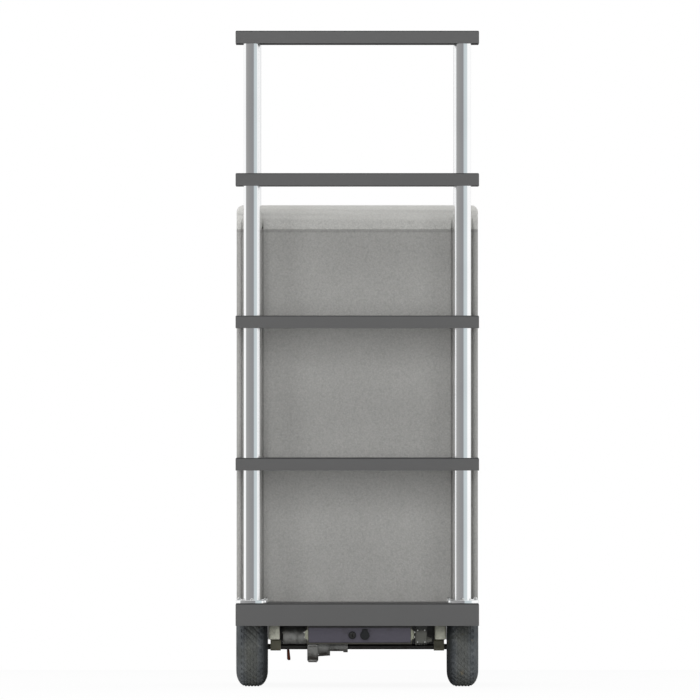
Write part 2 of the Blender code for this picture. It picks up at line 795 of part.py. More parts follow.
def add_knuckles(target, own_turn, leaf_rises):
    """Every second knuckle of the hinge belongs to the bin and the rest to the lid."""
    pitch = HINGE_LENGTH / KNUCKLES
    for index in range(own_turn, KNUCKLES, 2):
        start = -HINGE_LENGTH / 2 + pitch * index + HINGE_KNUCKLE_GAP
        end = start + pitch - 2 * HINGE_KNUCKLE_GAP
        join(target, hinge_knuckle(f"{target.name}_knuckle_{index}", start, end, leaf_rises))
    reach = HINGE_LENGTH / 2 + CUT_OVERRUN
    cut(target, rod(target.name + "_pin_bore", round_bore(HINGE_PIN_RADIUS), -reach, reach,
                    HINGE_AXIS, "X"))


def make_bin():
    storage_bin = extruded("storage_bin", [bin_outline()], ON_DECK, BIN_RIM)
    cut(storage_bin, extruded("bin_hollow", [bin_cavity(BIN_WALL)], ON_DECK + BIN_FLOOR,
                              BIN_RIM + CUT_OVERRUN))
    add_knuckles(storage_bin, 0, leaf_rises=False)
    paint(storage_bin, BIN_PLASTIC)
    pin = rod("lid_hinge_pin", HINGE_PIN_RADIUS, -HINGE_LENGTH / 2, HINGE_LENGTH / 2,
              HINGE_AXIS, "X")
    paint(pin, ZINC)


def rolled_block(name, front, rear, side, top, roll, side_round):
    """A block whose front edge is a wide roll, its two upper side edges rounded."""
    base = LID_BOTTOM - 2 * LID_SIDE_ROUND
    profile = [(front, base), *reversed(arc((front + roll, top - roll), roll, 90, 180, ROLL_STEPS)),
               *reversed(arc((rear - LID_REAR_ROUND, top - LID_REAR_ROUND), LID_REAR_ROUND,
                             0, 90)), (rear, base)]
    block = extruded(name, [profile], -side, side, "X")
    crown = [(-side, base), (side, base), *arc((side - side_round, top - side_round), side_round, 0, 90),
             *arc((side_round - side, top - side_round), side_round, 90, 180)]
    combine(block, extruded(name + "_sides", [crown], front - CUT_OVERRUN, rear + CUT_OVERRUN, "Y"),
            "INTERSECT")
    return block


def make_lid():
    lid_mesh = extruded("bin_lid", [bin_outline()], LID_BOTTOM, LID_TOP + CUT_OVERRUN,
                        place=HINGE_AXIS)
    half = BIN_WIDTH / 2
    combine(lid_mesh, rolled_block("lid_crown", BIN_FRONT, BIN_REAR, half, LID_TOP, LID_ROLL,
                                   LID_SIDE_ROUND), "INTERSECT")
    inner_roll = LID_ROLL - BIN_FRONT_WALL
    cut(lid_mesh, rolled_block("lid_hollow", BIN_FRONT + BIN_FRONT_WALL, BIN_REAR - LID_WALL,
                               half - LID_WALL, LID_TOP - LID_WALL, inner_roll,
                               LID_SIDE_ROUND - LID_WALL))
    add_knuckles(lid_mesh, 1, leaf_rises=True)
    return paint(lid_mesh, BIN_PLASTIC)


# Drive wheels with their shafts

def facing(profile, side):
    """A profile along +X, or its mirror image for the left side."""
    turned_over = [(radius, side * along) for radius, along in profile]
    return turned_over if side > 0 else turned_over[::-1]


def shouldered(radius, width, shoulder):
    """The outer line of a tyre, from one side wall over the tread to the other."""
    across, up = shoulder
    flat = width / 2 - across
    corner = arc((flat, radius - up), (across, up), 0, 90, SHOULDER_STEPS)
    top = [(height, along) for along, height in corner]
    return top + [(height, -along) for height, along in reversed(top)]


def make_drive_tyre(name, place):
    bead = TYRE_BEAD_WIDTH / 2
    lift = RIM_RADIUS + TYRE_BEAD_HEIGHT
    outer = shouldered(TYRE_RADIUS, TYRE_WIDTH, (TYRE_SHOULDER_WIDTH, TYRE_SHOULDER_HEIGHT))
    side_wall = (TYRE_WIDTH / 2 + bead) / 2
    profile = [(RIM_RADIUS, bead), (lift, side_wall), *outer, (lift, -side_wall),
               (RIM_RADIUS, -bead)]
    return paint(turned(name, profile, place, "X", LARGE_ROUND, closed=True), TYRE_RUBBER)


def make_rim(name, place, side):
    edge = TYRE_BEAD_WIDTH / 2
    seat = RIM_RADIUS - SEAT_GAP
    inside = RIM_RADIUS - RIM_WALL
    web_out = RIM_WEB / 2 + RIM_WEB_OFFSET
    web_in = web_out - RIM_WEB
    hub_out = HUB_LENGTH / 2 - HUB_OFFSET
    hub_in = hub_out - HUB_LENGTH
    profile = [(seat, edge), (seat, -edge), (inside, -edge), (inside - RIM_DRAFT, web_in),
               (HUB_RADIUS + HUB_DRAFT, web_in), (HUB_RADIUS, hub_in), (SHAFT_BORE, hub_in),
               (SHAFT_BORE, hub_out), (HUB_RADIUS, hub_out), (HUB_RADIUS + HUB_DRAFT, web_out),
               (inside - RIM_DRAFT, web_out), (inside, edge)]
    rim = turned(name, facing(profile, side), place, "X", LARGE_ROUND, closed=True)
    circle = (HUB_RADIUS + HUB_DRAFT + inside - RIM_DRAFT) / 2
    for index in range(RIM_HOLES):
        angle = math.tau * (index + 1 / 2) / RIM_HOLES
        spot = place + Vector((0, math.cos(angle), math.sin(angle))) * circle
        cut(rim, rod(f"{name}_hole_{index}", RIM_HOLE_RADIUS, -RIM_WEB, RIM_WEB, spot, "X"))
    return paint(rim, GREY_STEEL)


def make_drive_wheels():
    meeting = CASE_WIDTH / 2 - CASE_LEFT
    for side, name in ((-1, "left"), (1, "right")):
        place = AXLE + Vector((side * WHEEL_CENTRE, 0, 0))
        turning = axis_empty(name + "_wheel_axis", place)
        tyre = make_drive_tyre(name + "_drive_tyre", place)
        rim = make_rim(name + "_drive_rim", place, side)
        inner = meeting + side * SHAFT_MEETING_GAP / 2 - place.x
        outer = side * (HUB_LENGTH / 2 - HUB_OFFSET + SHAFT_END)
        start, end = sorted((inner, outer))
        shaft = rod(name + "_wheel_shaft", SHAFT_RADIUS, start, end, place, "X", MIDDLE_ROUND)
        carry(turning, [tyre, rim, paint(shaft, DARK_STEEL)])


def make_shaft_hangers():
    hanger_bottom = AXLE.z + BEARING_TOP_ABOVE_AXLE + SEAT_GAP
    hanger_top = UNDER_DECK - RAIL_HEIGHT - SEAT_GAP
    for side, name in ((-1, "left"), (1, "right")):
        edges = sorted((side * HANGER_INNER, side * RAIL_OUTER))
        hanger = tray(name + "_shaft_hanger",
                      (edges[0], AXLE_Y - HANGER_LENGTH / 2, hanger_bottom),
                      (edges[1], AXLE_Y + HANGER_LENGTH / 2, hanger_top),
                      (0, 0, 1), HANGER_WALL, BEARING_ROUND)
        paint(hanger, ZINC)
        low = (AXLE_Y - BEARING_LENGTH / 2, AXLE.z - BEARING_BELOW_AXLE)
        high = (AXLE_Y + BEARING_LENGTH / 2, AXLE.z + BEARING_TOP_ABOVE_AXLE)
        ends = sorted((side * BEARING_INNER, side * BEARING_OUTER))
        block = extruded(name + "_bearing_block",
                         [filleted(rectangle(low, high), BEARING_ROUND)], *ends, "X")
        reach = BEARING_OUTER - BEARING_INNER
        cut(block, rod(block.name + "_bore", SHAFT_BORE, -reach, reach,
                       AXLE + Vector((sum(ends) / 2, 0, 0)), "X", MIDDLE_ROUND))
        paint(block, ZINC)


# Gear case, motor with brake, release lever and motor saddle

def gear_case_outline():
    """The belt line round the axle end and the motor end of the case."""
    span = MOTOR_AXIS - AXLE
    lean = math.degrees(math.atan2(span.z, span.y))
    touch = math.degrees(math.acos((CASE_AXLE_RADIUS - CASE_MOTOR_RADIUS) / span.length))
    axle_end = arc((AXLE.y, AXLE.z), CASE_AXLE_RADIUS, lean + touch, lean - touch + 360,
                   2 * CORNER_STEPS)
    motor_end = arc((MOTOR_AXIS.y, MOTOR_AXIS.z), CASE_MOTOR_RADIUS, lean - touch,
                    lean + touch, 2 * CORNER_STEPS)
    return axle_end + motor_end, lean


def make_gear_case():
    outline, lean = gear_case_outline()
    right_face = CASE_WIDTH - CASE_LEFT
    case = extruded("gear_case", [outline], -CASE_LEFT, right_face, "X")
    round_edges(case, CASE_ROUND)
    ear_spots = [(AXLE, CASE_AXLE_RADIUS, lean + angle) for angle in AXLE_EAR_ANGLES]
    ear_spots += [(MOTOR_AXIS, CASE_MOTOR_RADIUS, lean + angle) for angle in MOTOR_EAR_ANGLES]
    for index, (centre, radius, angle) in enumerate(ear_spots):
        turn = math.radians(angle)
        spot = centre + Vector((0, math.cos(turn), math.sin(turn))) * radius
        spot.x = -CASE_LEFT + CASE_WIDTH / 2
        join(case, rod(f"case_ear_{index}", CASE_EAR_RADIUS, -CASE_EAR_WIDTH / 2,
                       CASE_EAR_WIDTH / 2, spot, "X"))
    neck_end = BOSS_LENGTH + NECK_LENGTH
    collar_end = neck_end + COLLAR_LENGTH
    profile = [(0, collar_end), (COLLAR_RADIUS, collar_end), (COLLAR_RADIUS, neck_end),
               (NECK_RADIUS, neck_end), (NECK_RADIUS, BOSS_LENGTH),
               (BOSS_RADIUS - BOSS_DRAFT, BOSS_LENGTH), (BOSS_RADIUS, 0),
               (BOSS_RADIUS, -CASE_ROUND), (0, -CASE_ROUND)]
    join(case, turned("case_boss", profile, AXLE + Vector((right_face, 0, 0)), "X"))
    cut(case, rod("case_bore", SHAFT_BORE, -CASE_WIDTH - CUT_OVERRUN, collar_end + CUT_OVERRUN,
                  AXLE + Vector((right_face, 0, 0)), "X", MIDDLE_ROUND))
    return paint(case, CAST_METAL)


def motor_place():
    return MOTOR_AXIS + Vector((-CASE_LEFT - SEAT_GAP, 0, 0))


def lever_pivot():
    end = MOTOR_LENGTH + BRAKE_LENGTH - LEVER_FROM_END
    return motor_place() - Vector((end, 0, LEVER_PIVOT_DROP))


def make_motor():
    total = MOTOR_LENGTH + BRAKE_LENGTH
    band_top = (MOTOR_LENGTH - MOTOR_BAND) / 2
    narrow = MOTOR_RADIUS - MOTOR_BAND_DEPTH
    profile = [(0, 0), (MOTOR_RADIUS - MOTOR_ROUND, 0), (MOTOR_RADIUS, -MOTOR_ROUND),
               (MOTOR_RADIUS, -band_top), (narrow, -band_top),
               (narrow, -band_top - MOTOR_BAND), (MOTOR_RADIUS, -band_top - MOTOR_BAND),
               (MOTOR_RADIUS, MOTOR_ROUND - MOTOR_LENGTH),
               (MOTOR_RADIUS - MOTOR_ROUND, -MOTOR_LENGTH), (BRAKE_RADIUS, -MOTOR_LENGTH),
               (BRAKE_RADIUS, MOTOR_ROUND - total), (BRAKE_RADIUS - MOTOR_ROUND, -total),
               (0, -total)]
    motor = turned("drive_motor", profile, motor_place(), "X", LARGE_ROUND)
    pivot = lever_pivot()
    ear_root = MOTOR_AXIS.z - BRAKE_RADIUS + EAR_LENGTH_INTO_BRAKE
    outline = arc((pivot.x, pivot.z), EAR_RADIUS, 180, 360, 2 * CORNER_STEPS)
    outline += [(pivot.x + EAR_RADIUS, ear_root), (pivot.x - EAR_RADIUS, ear_root)]
    near = LEVER_EYE_WIDTH / 2 + SEAT_GAP
    for index, side in enumerate((-1, 1)):
        ends = sorted((pivot.y + side * near, pivot.y + side * (near + EAR_WIDTH)))
        join(motor, extruded(f"brake_ear_{index}", [outline], *ends, "Y"))
    reach = near + EAR_WIDTH / 2
    join(motor, rod("brake_lever_pin", LEVER_PIN_RADIUS, -reach, reach, pivot, "Y"))
    return paint(motor, MOTOR_PAINT)


def solid_route(name, points, radius, place=ORIGIN, resolution=2, hollow=False):
    """A round rod or, left open at its ends, a tube skin along a line of points."""
    curve = bpy.data.curves.new(name, "CURVE")
    curve.dimensions = "3D"
    curve.bevel_depth = radius
    curve.bevel_resolution = resolution
    curve.use_fill_caps = not hollow
    spline = curve.splines.new("POLY")
    spline.points.add(len(points) - 1)
    for point, spot in zip(spline.points, points):
        point.co = (*spot, 1)
    return made_mesh(add_object(name, curve, ORIGIN), place)


def make_brake_lever():
    pivot = lever_pivot()
    bore = round_bore(LEVER_PIN_RADIUS)
    lever = ring("brake_release_lever", LEVER_EYE_RADIUS, bore, -LEVER_EYE_WIDTH / 2,
                 LEVER_EYE_WIDTH / 2, pivot, "Y", SMALL_ROUND)
    start = pivot - Vector((0, 0, (LEVER_EYE_RADIUS + bore) / 2))
    end = pivot + Vector((LEVER_LEAN, 0, -LEVER_REACH))
    join(lever, solid_route("lever_arm", [start, end], LEVER_RADIUS))
    return paint(lever, RED_PLASTIC)


def make_motor_saddle():
    radius = MOTOR_RADIUS + SEAT_GAP
    half = SADDLE_LENGTH / 2
    open_angle = math.degrees(math.asin(half / radius))
    outline = arc((MOTOR_AXIS.y, MOTOR_AXIS.z), radius, 90 + open_angle, 90 - open_angle,
                  2 * CORNER_STEPS)
    outline += [(MOTOR_AXIS.y + half, UNDER_DECK), (MOTOR_AXIS.y - half, UNDER_DECK)]
    right = -CASE_LEFT - SADDLE_FROM_CASE
    return paint(extruded("motor_saddle", [outline], right - SADDLE_WIDTH, right, "X"), ZINC)


def make_drive_channel():
    """A pressed channel that stiffens the rails behind the drive unit."""
    face = MOTOR_AXIS.y + CASE_MOTOR_RADIUS + CASE_EAR_RADIUS + CHANNEL_FROM_CASE
    web = face + CHANNEL_SHEET
    edge = face + CHANNEL_FLANGE
    outline = [(face, UNDER_DECK), (face, CHANNEL_BOTTOM), (edge, CHANNEL_BOTTOM),
               (edge, CHANNEL_BOTTOM + CHANNEL_SHEET), (web, CHANNEL_BOTTOM + CHANNEL_SHEET),
               (web, UNDER_DECK - CHANNEL_SHEET), (edge, UNDER_DECK - CHANNEL_SHEET),
               (edge, UNDER_DECK)]
    reach = RAIL_INNER - SEAT_GAP
    return paint(extruded("drive_channel", [outline], -reach, reach, "X"), GREY_STEEL)


# Battery box, battery and strap

def make_battery():
    case = tray("battery_box", (-BOX_LEFT, BOX_FRONT, BOX_BOTTOM),
                (BOX_RIGHT, BOX_REAR, UNDER_DECK), (0, 0, 1), BOX_SHEET, BOX_BEND)
    paint(case, BOX_PAINT)
    inset = BOX_SHEET + BATTERY_SIDE_ROOM
    floor = BOX_BOTTOM + BOX_SHEET + SEAT_GAP
    battery = box("battery", (inset - BOX_LEFT, BOX_FRONT + inset, floor),
                  (BOX_RIGHT - inset, BOX_REAR - inset, floor + BATTERY_HEIGHT))
    paint(round_edges(battery, BATTERY_ROUND), BLACK_PLASTIC)


def strap_side(side, wall):
    """One leg of the strap from the deck down to its corner, as (x, z) points."""
    inner = wall + SEAT_GAP
    outer = inner + STRAP_SHEET
    tip = outer + STRAP_FOOT
    lug = outer + STRAP_LUG
    line = [(inner, UNDER_DECK), (tip, UNDER_DECK), (tip, UNDER_DECK - STRAP_SHEET),
            (outer, UNDER_DECK - STRAP_SHEET), (outer, STRAP_LUG_TOP),
            (lug, STRAP_LUG_TOP - STRAP_LUG), (lug, STRAP_LUG_BOTTOM), (outer, STRAP_LUG_BOTTOM),
            (outer, BOX_BOTTOM - SEAT_GAP - STRAP_SHEET)]
    return [(side * x, z) for x, z in line]


def make_battery_strap():
    """One steel strap round the box, with a lug on each side."""
    under = BOX_BOTTOM - SEAT_GAP
    outline = strap_side(1, BOX_RIGHT) + strap_side(-1, BOX_LEFT)[::-1]
    outline += [(-BOX_LEFT - SEAT_GAP, under), (BOX_RIGHT + SEAT_GAP, under)]
    strap_front = BOX_FRONT + STRAP_FRONT_SETBACK
    strap = extruded("battery_strap", [outline], strap_front, strap_front + STRAP_WIDTH, "Y")
    return paint(strap, ZINC)


# Key switch and charging socket

def make_key_switch():
    face = Vector((KEY_PLACE, BOX_FRONT - SEAT_GAP, FITTING_HEIGHT))
    collar = ring("key_switch", KEY_RADIUS, round_bore(KEY_ROTOR_RADIUS, MIDDLE_ROUND),
                  -KEY_COLLAR, 0, face, "Y", MIDDLE_ROUND)
    paint(collar, BLACK_PLASTIC)
    front = KEY_COLLAR + KEY_ROTOR_PROUD
    rotor = rod("key_rotor", KEY_ROTOR_RADIUS, -front, -SEAT_GAP, face, "Y", MIDDLE_ROUND)
    slot_low = face + Vector((-KEY_SLOT_WIDTH / 2, -front - CUT_OVERRUN, -KEY_SLOT_LENGTH / 2))
    slot_high = face + Vector((KEY_SLOT_WIDTH / 2, KEY_SLOT_DEPTH - front, KEY_SLOT_LENGTH / 2))
    cut(rotor, box("key_slot", slot_low, slot_high))
    paint(rotor, DARK_STEEL)


def cap_pivot():
    depth = SEAT_GAP + SOCKET_COLLAR + SEAT_GAP + CAP_THICKNESS / 2
    return Vector((SOCKET_PLACE, BOX_FRONT - depth, FITTING_HEIGHT + CAP_PIVOT_RISE))


def make_charging_socket():
    face = Vector((SOCKET_PLACE, BOX_FRONT - SEAT_GAP, FITTING_HEIGHT))
    floor = SOCKET_DEPTH - SOCKET_COLLAR
    profile = [(0, 0), (SOCKET_RADIUS, 0), (SOCKET_RADIUS, -SOCKET_COLLAR),
               (SOCKET_BORE, -SOCKET_COLLAR), (SOCKET_BORE, floor), (0, floor)]
    socket = turned("charging_socket", profile, face, "Y")
    pivot = cap_pivot()
    crown = face.z + CAP_RADIUS + 2 * SEAT_GAP
    top = pivot.z + CAP_BARREL_RADIUS
    front = face.y - SOCKET_COLLAR
    root = face.z + SOCKET_BORE
    tip = pivot.y - CAP_BARREL_RADIUS
    outline = [(face.y, root), (face.y, top), (tip, top), (tip, crown), (front, crown),
               (front, root)]
    near = CAP_BARREL_WIDTH / 2 + SEAT_GAP
    for index, side in enumerate((-1, 1)):
        ends = sorted((pivot.x + side * near, pivot.x + side * (near + CAP_EAR_WIDTH)))
        join(socket, extruded(f"socket_ear_{index}", [outline], *ends, "X"))
    reach = near + CAP_EAR_WIDTH / 2
    join(socket, rod("socket_cap_pin", CAP_PIN_RADIUS, -reach, reach, pivot, "X"))
    paint(socket, BLACK_PLASTIC)
    make_socket_cap(face, pivot)


def make_socket_cap(face, pivot):
    back = -SOCKET_COLLAR - SEAT_GAP
    cap = rod("charging_cap", CAP_RADIUS, back - CAP_THICKNESS, back, face, "Y", MIDDLE_ROUND)
    half = CAP_BARREL_WIDTH / 2
    low = pivot - Vector((half, CAP_THICKNESS / 2, CAP_PIVOT_RISE - SOCKET_BORE))
    high = pivot + Vector((half, CAP_THICKNESS / 2, 0))
    join(cap, box("cap_tongue", low, high))
    join(cap, rod("cap_barrel", CAP_BARREL_RADIUS, -half, half, pivot, "X"))
    cut(cap, rod("cap_bore", round_bore(CAP_PIN_RADIUS), -2 * half, 2 * half, pivot, "X"))
    turning = axis_empty("charging_cap_axis", pivot)
    carry(turning, [paint(cap, BLACK_PLASTIC)])


# Motor controller with its cable gland

def make_controller():
    front = FRONT + CONTROLLER_FRONT_SETBACK
    controller = box("motor_controller", (CONTROLLER_LEFT, front, CONTROLLER_BOTTOM),
                     (CONTROLLER_RIGHT, front + CONTROLLER_DEPTH, UNDER_DECK))
    pitch = (CONTROLLER_WIDTH - CONTROLLER_FIN) / CONTROLLER_FINS
    for index in range(CONTROLLER_FINS):
        start = CONTROLLER_LEFT + CONTROLLER_FIN + pitch * index
        cut(controller, box(f"fin_gap_{index}",
                            (start, front - CUT_OVERRUN, CONTROLLER_BOTTOM - CUT_OVERRUN),
                            (start + pitch - CONTROLLER_FIN / 2,
                             front + CONTROLLER_DEPTH + CUT_OVERRUN,
                             CONTROLLER_BOTTOM + CONTROLLER_FIN_DEPTH)))
    neck = GLAND_LENGTH / 2
    embed = CONTROLLER_FIN / 2
    profile = [(0, GLAND_LENGTH), (GLAND_NOSE_RADIUS, GLAND_LENGTH), (GLAND_NOSE_RADIUS, neck),
               (GLAND_RADIUS, neck), (GLAND_RADIUS, -embed), (0, -embed)]
    spot = Vector((CONTROLLER_RIGHT, front + GLAND_FROM_FRONT, GLAND_HEIGHT))
    join(controller, turned("cable_gland", profile, spot, "X", SMALL_ROUND))
    paint(controller, CAST_METAL)


# Casters

def make_caster(name, x):
    swivel = Vector((x, DECK_REAR - BEAM_REAR_SETBACK - BEAM_DEPTH / 2, 0))
    plate_bottom = UNDER_DECK - BEAM_HEIGHT - SEAT_GAP - CASTER_PLATE_SHEET
    crown_top = plate_bottom - RACE_HEIGHT - SEAT_GAP
    sheet_top = crown_top - CROWN_HEIGHT
    sheet_bottom = sheet_top - FORK_SHEET
    make_caster_plate(name, swivel, plate_bottom, sheet_bottom)
    turning = axis_empty(name + "_swivel_axis", swivel)
    fork = make_caster_fork(name, swivel, crown_top, sheet_top, sheet_bottom)
    carry(turning, [fork])
    axle = swivel + Vector((0, CASTER_TRAIL, CASTER_WHEEL_RADIUS))
    rolling = axis_empty(name + "_wheel_axis", axle, turning)
    carry(rolling, make_caster_wheel(name, axle))


def make_caster_plate(name, swivel, plate_bottom, sheet_bottom):
    half = Vector((CASTER_PLATE_WIDTH / 2, CASTER_PLATE_LENGTH / 2))
    centre = Vector((swivel.x, swivel.y))
    outline = filleted(rectangle(centre - half, centre + half), CASTER_PLATE_CORNER)
    plate = extruded(name + "_plate", [outline], plate_bottom, plate_bottom + CASTER_PLATE_SHEET)
    nut_top = sheet_bottom - SEAT_GAP - plate_bottom
    nut_bottom = nut_top - CASTER_PLATE_SHEET
    embed = CASTER_PLATE_SHEET / 2
    profile = [(0, embed), (RACE_RADIUS, embed), (RACE_RADIUS, -RACE_HEIGHT),
               (KINGPIN_RADIUS, -RACE_HEIGHT), (KINGPIN_RADIUS, nut_top),
               (KINGPIN_NUT_RADIUS, nut_top), (KINGPIN_NUT_RADIUS, nut_bottom), (0, nut_bottom)]
    spot = swivel + Vector((0, 0, plate_bottom))
    join(plate, turned(name + "_kingpin", profile, spot, "Z"))
    return paint(plate, ZINC)


def make_caster_fork(name, swivel, crown_top, sheet_top, sheet_bottom):
    inner = CASTER_WHEEL_WIDTH / 2 + FORK_SIDE_GAP
    outer = inner + FORK_SHEET
    half_top = FORK_TOP_LENGTH / 2
    fork = box(name + "_fork", swivel + Vector((-outer, -half_top, sheet_bottom)),
               swivel + Vector((outer, half_top, sheet_top)), swivel)
    embed = FORK_SHEET / 2
    profile = [(0, crown_top), (CROWN_TOP_RADIUS, crown_top),
               (CROWN_TOP_RADIUS, crown_top - CROWN_HEIGHT / 2), (CROWN_RADIUS, sheet_top),
               (CROWN_RADIUS, sheet_top - embed), (0, sheet_top - embed)]
    join(fork, turned(name + "_crown", profile, swivel, "Z"))
    eye = (swivel.y + CASTER_TRAIL, CASTER_WHEEL_RADIUS)
    outline = [(swivel.y + half_top, sheet_top), (swivel.y - half_top, sheet_top)]
    outline += arc(eye, FORK_EYE_RADIUS, 180 + FORK_EYE_WRAP, 360 + FORK_EYE_WRAP,
                   2 * CORNER_STEPS)
    for index, side in enumerate((-1, 1)):
        ends = sorted((swivel.x + side * inner, swivel.x + side * outer))
        join(fork, extruded(f"{name}_leg_{index}", [outline], *ends, "X"))
    axle = Vector((swivel.x, *eye))
    reach = outer + FORK_SHEET
    join(fork, rod(name + "_axle", CASTER_AXLE_RADIUS, -reach, reach, axle, "X"))
    bore_depth = CROWN_HEIGHT + CUT_OVERRUN
    cut(fork, rod(name + "_kingpin_bore", round_bore(KINGPIN_RADIUS), -bore_depth, bore_depth,
                  swivel + Vector((0, 0, sheet_top)), "Z"))
    return paint(fork, ZINC)


def make_caster_wheel(name, axle):
    half = CASTER_WHEEL_WIDTH / 2
    bead = half - CASTER_TREAD_ROUND / 2
    seat = CASTER_WHEEL_RADIUS - CASTER_TREAD
    outer = shouldered(CASTER_WHEEL_RADIUS, CASTER_WHEEL_WIDTH,
                       (CASTER_TREAD_ROUND, CASTER_TREAD_ROUND))
    tyre = turned(name + "_tyre", [(seat, bead), *outer, (seat, -bead)], axle, "X",
                  LARGE_ROUND, closed=True)
    rim = seat - SEAT_GAP
    inside = rim - CASTER_RIM_WALL
    web = CASTER_WEB / 2
    hub_end = half + FORK_SIDE_GAP - RUNNING_GAP
    axle_bore = round_bore(CASTER_AXLE_RADIUS, LARGE_ROUND)
    profile = [(rim, bead), (rim, -bead), (inside, -bead), (inside, -web),
               (CASTER_HUB_RADIUS, -web), (CASTER_HUB_RADIUS, -hub_end), (axle_bore, -hub_end),
               (axle_bore, hub_end), (CASTER_HUB_RADIUS, hub_end), (CASTER_HUB_RADIUS, web),
               (inside, web), (inside, bead)]
    hub = turned(name + "_hub", profile, axle, "X", LARGE_ROUND, closed=True)
    return [paint(tyre, TYRE_RUBBER), paint(hub, BLACK_PLASTIC)]


# Push handle with its feet and grips

def make_handle_feet():
    bore = round_bore(HANDLE_TUBE_RADIUS, MIDDLE_ROUND)
    outer = bore + FOOT_SOCKET_WALL
    floor = FOOT_DISC_THICKNESS / 2
    profile = [(0, floor), (bore, floor), (bore, FOOT_SOCKET_HEIGHT),
               (outer, FOOT_SOCKET_HEIGHT), (outer, FOOT_DISC_THICKNESS),
               (FOOT_DISC_RADIUS, FOOT_DISC_THICKNESS), (FOOT_DISC_RADIUS, 0), (0, 0)]
    for side, name in ((-1, "left"), (1, "right")):
        spot = Vector((side * HANDLE_HALF_WIDTH, FOOT_Y, ON_DECK))
        paint(turned(name + "_handle_foot", profile, spot), GREY_STEEL)


def make_push_handle():
    start = ON_DECK + FOOT_DISC_THICKNESS / 2 + SEAT_GAP
    left = [(-HANDLE_HALF_WIDTH, FOOT_Y, start), (-HANDLE_HALF_WIDTH, FOOT_Y, HANDLE_KNEE),
            (-HANDLE_HALF_WIDTH, BAR.y, BAR.z)]
    corners = left + [(-x, y, z) for x, y, z in reversed(left)]
    bends = [0, HANDLE_KNEE_BEND, HANDLE_TOP_BEND, HANDLE_TOP_BEND, HANDLE_KNEE_BEND, 0]
    line = filleted(corners, bends, SHOULDER_STEPS, closed=False)
    handle = solid_route("push_handle", line, HANDLE_TUBE_RADIUS, resolution=4, hollow=True)
    wall = handle.modifiers.new("wall", "SOLIDIFY")
    wall.thickness = HANDLE_TUBE_WALL
    wall.offset = -1
    paint(handle, GREY_STEEL)


def make_grips():
    inner = round_bore(HANDLE_TUBE_RADIUS, MIDDLE_ROUND)
    edge = GRIP_WALL / 2
    neck = GRIP_OUTER - edge
    profile = [(inner, GRIP_LENGTH), (neck, GRIP_LENGTH), (GRIP_OUTER, GRIP_LENGTH - edge),
               (GRIP_OUTER, edge), (neck, 0), (inner, 0)]
    for side, name in ((-1, "left"), (1, "right")):
        spot = BAR + Vector((side * GRIP_START, 0, 0))
        grip = turned(name + "_grip", facing(profile, side), spot, "X", LARGE_ROUND,
                      closed=True)
        paint(grip, BLACK_PLASTIC)


# Control head: display, stop button, direction rocker and throttle

def on_slope(x):
    drop = HEAD_SLOPE * CONTROLS_FROM_FRONT / HEAD_DEPTH
    return Vector((x, HEAD_FRONT + CONTROLS_FROM_FRONT, HEAD_TOP - drop))


def tilted(thing):
    thing.rotation_euler.x += HEAD_TILT
    return thing


def slope_box(name, spot, half_width, half_length, bottom, top):
    """A box square to the sloping face, measured from a spot on it."""
    low = spot + Vector((-half_width, -half_length, bottom))
    high = spot + Vector((half_width, half_length, top))
    return tilted(box(name, low, high, spot))


def make_control_head():
    profile = [(HEAD_FRONT, HEAD_BOTTOM), (HEAD_REAR, HEAD_BOTTOM),
               (HEAD_REAR, HEAD_TOP - HEAD_SLOPE), (HEAD_FRONT, HEAD_TOP)]
    head = extruded("control_head", [filleted(profile, HEAD_ROUND)], -HEAD_WIDTH / 2,
                    HEAD_WIDTH / 2, "X")
    round_edges(head, HEAD_EDGE)
    cut(head, rod("head_bar_bore", round_bore(HANDLE_TUBE_RADIUS, MIDDLE_ROUND), -HEAD_WIDTH,
                  HEAD_WIDTH, BAR, "X", MIDDLE_ROUND))
    pocket = DISPLAY_THICKNESS - DISPLAY_PROUD + SEAT_GAP
    cut(head, slope_box("display_pocket", on_slope(0), DISPLAY_WIDTH / 2 + SEAT_GAP,
                        DISPLAY_LENGTH / 2 + SEAT_GAP, -pocket, CUT_OVERRUN))
    stop_depth = STOP_STEM + STOP_TRAVEL + SEAT_GAP
    cut(head, tilted(rod("stop_bore", round_bore(STOP_STEM_RADIUS, MIDDLE_ROUND), -stop_depth,
                         CUT_OVERRUN, on_slope(STOP_PLACE), "Z", MIDDLE_ROUND)))
    cut(head, slope_box("rocker_pocket", on_slope(ROCKER_PLACE), ROCKER_WIDTH / 2 + SEAT_GAP,
                        ROCKER_LENGTH / 2 + ROCKER_ROOM, -ROCKER_DEPTH - 2 * ROCKER_ROOM,
                        CUT_OVERRUN))
    return paint(head, BLACK_PLASTIC)


def make_head_controls():
    display = slope_box("display", on_slope(0), DISPLAY_WIDTH / 2, DISPLAY_LENGTH / 2,
                        DISPLAY_PROUD - DISPLAY_THICKNESS, DISPLAY_PROUD)
    paint(display, DISPLAY_GLASS)
    under = STOP_TRAVEL + SEAT_GAP
    crown = under + STOP_CAP
    edge = STOP_CAP / 3
    profile = [(0, crown), (STOP_RADIUS - edge, crown), (STOP_RADIUS, crown - edge),
               (STOP_RADIUS, under), (STOP_STEM_RADIUS, under), (STOP_STEM_RADIUS, -STOP_STEM),
               (0, -STOP_STEM)]
    paint(tilted(turned("stop_button", profile, on_slope(STOP_PLACE))), RED_PLASTIC)
    rocker = slope_box("direction_rocker", on_slope(ROCKER_PLACE), ROCKER_WIDTH / 2,
                       ROCKER_LENGTH / 2, -ROCKER_DEPTH, ROCKER_RISE)
    paint(round_edges(rocker, ROCKER_ROOM / 2), BLACK_PLASTIC)


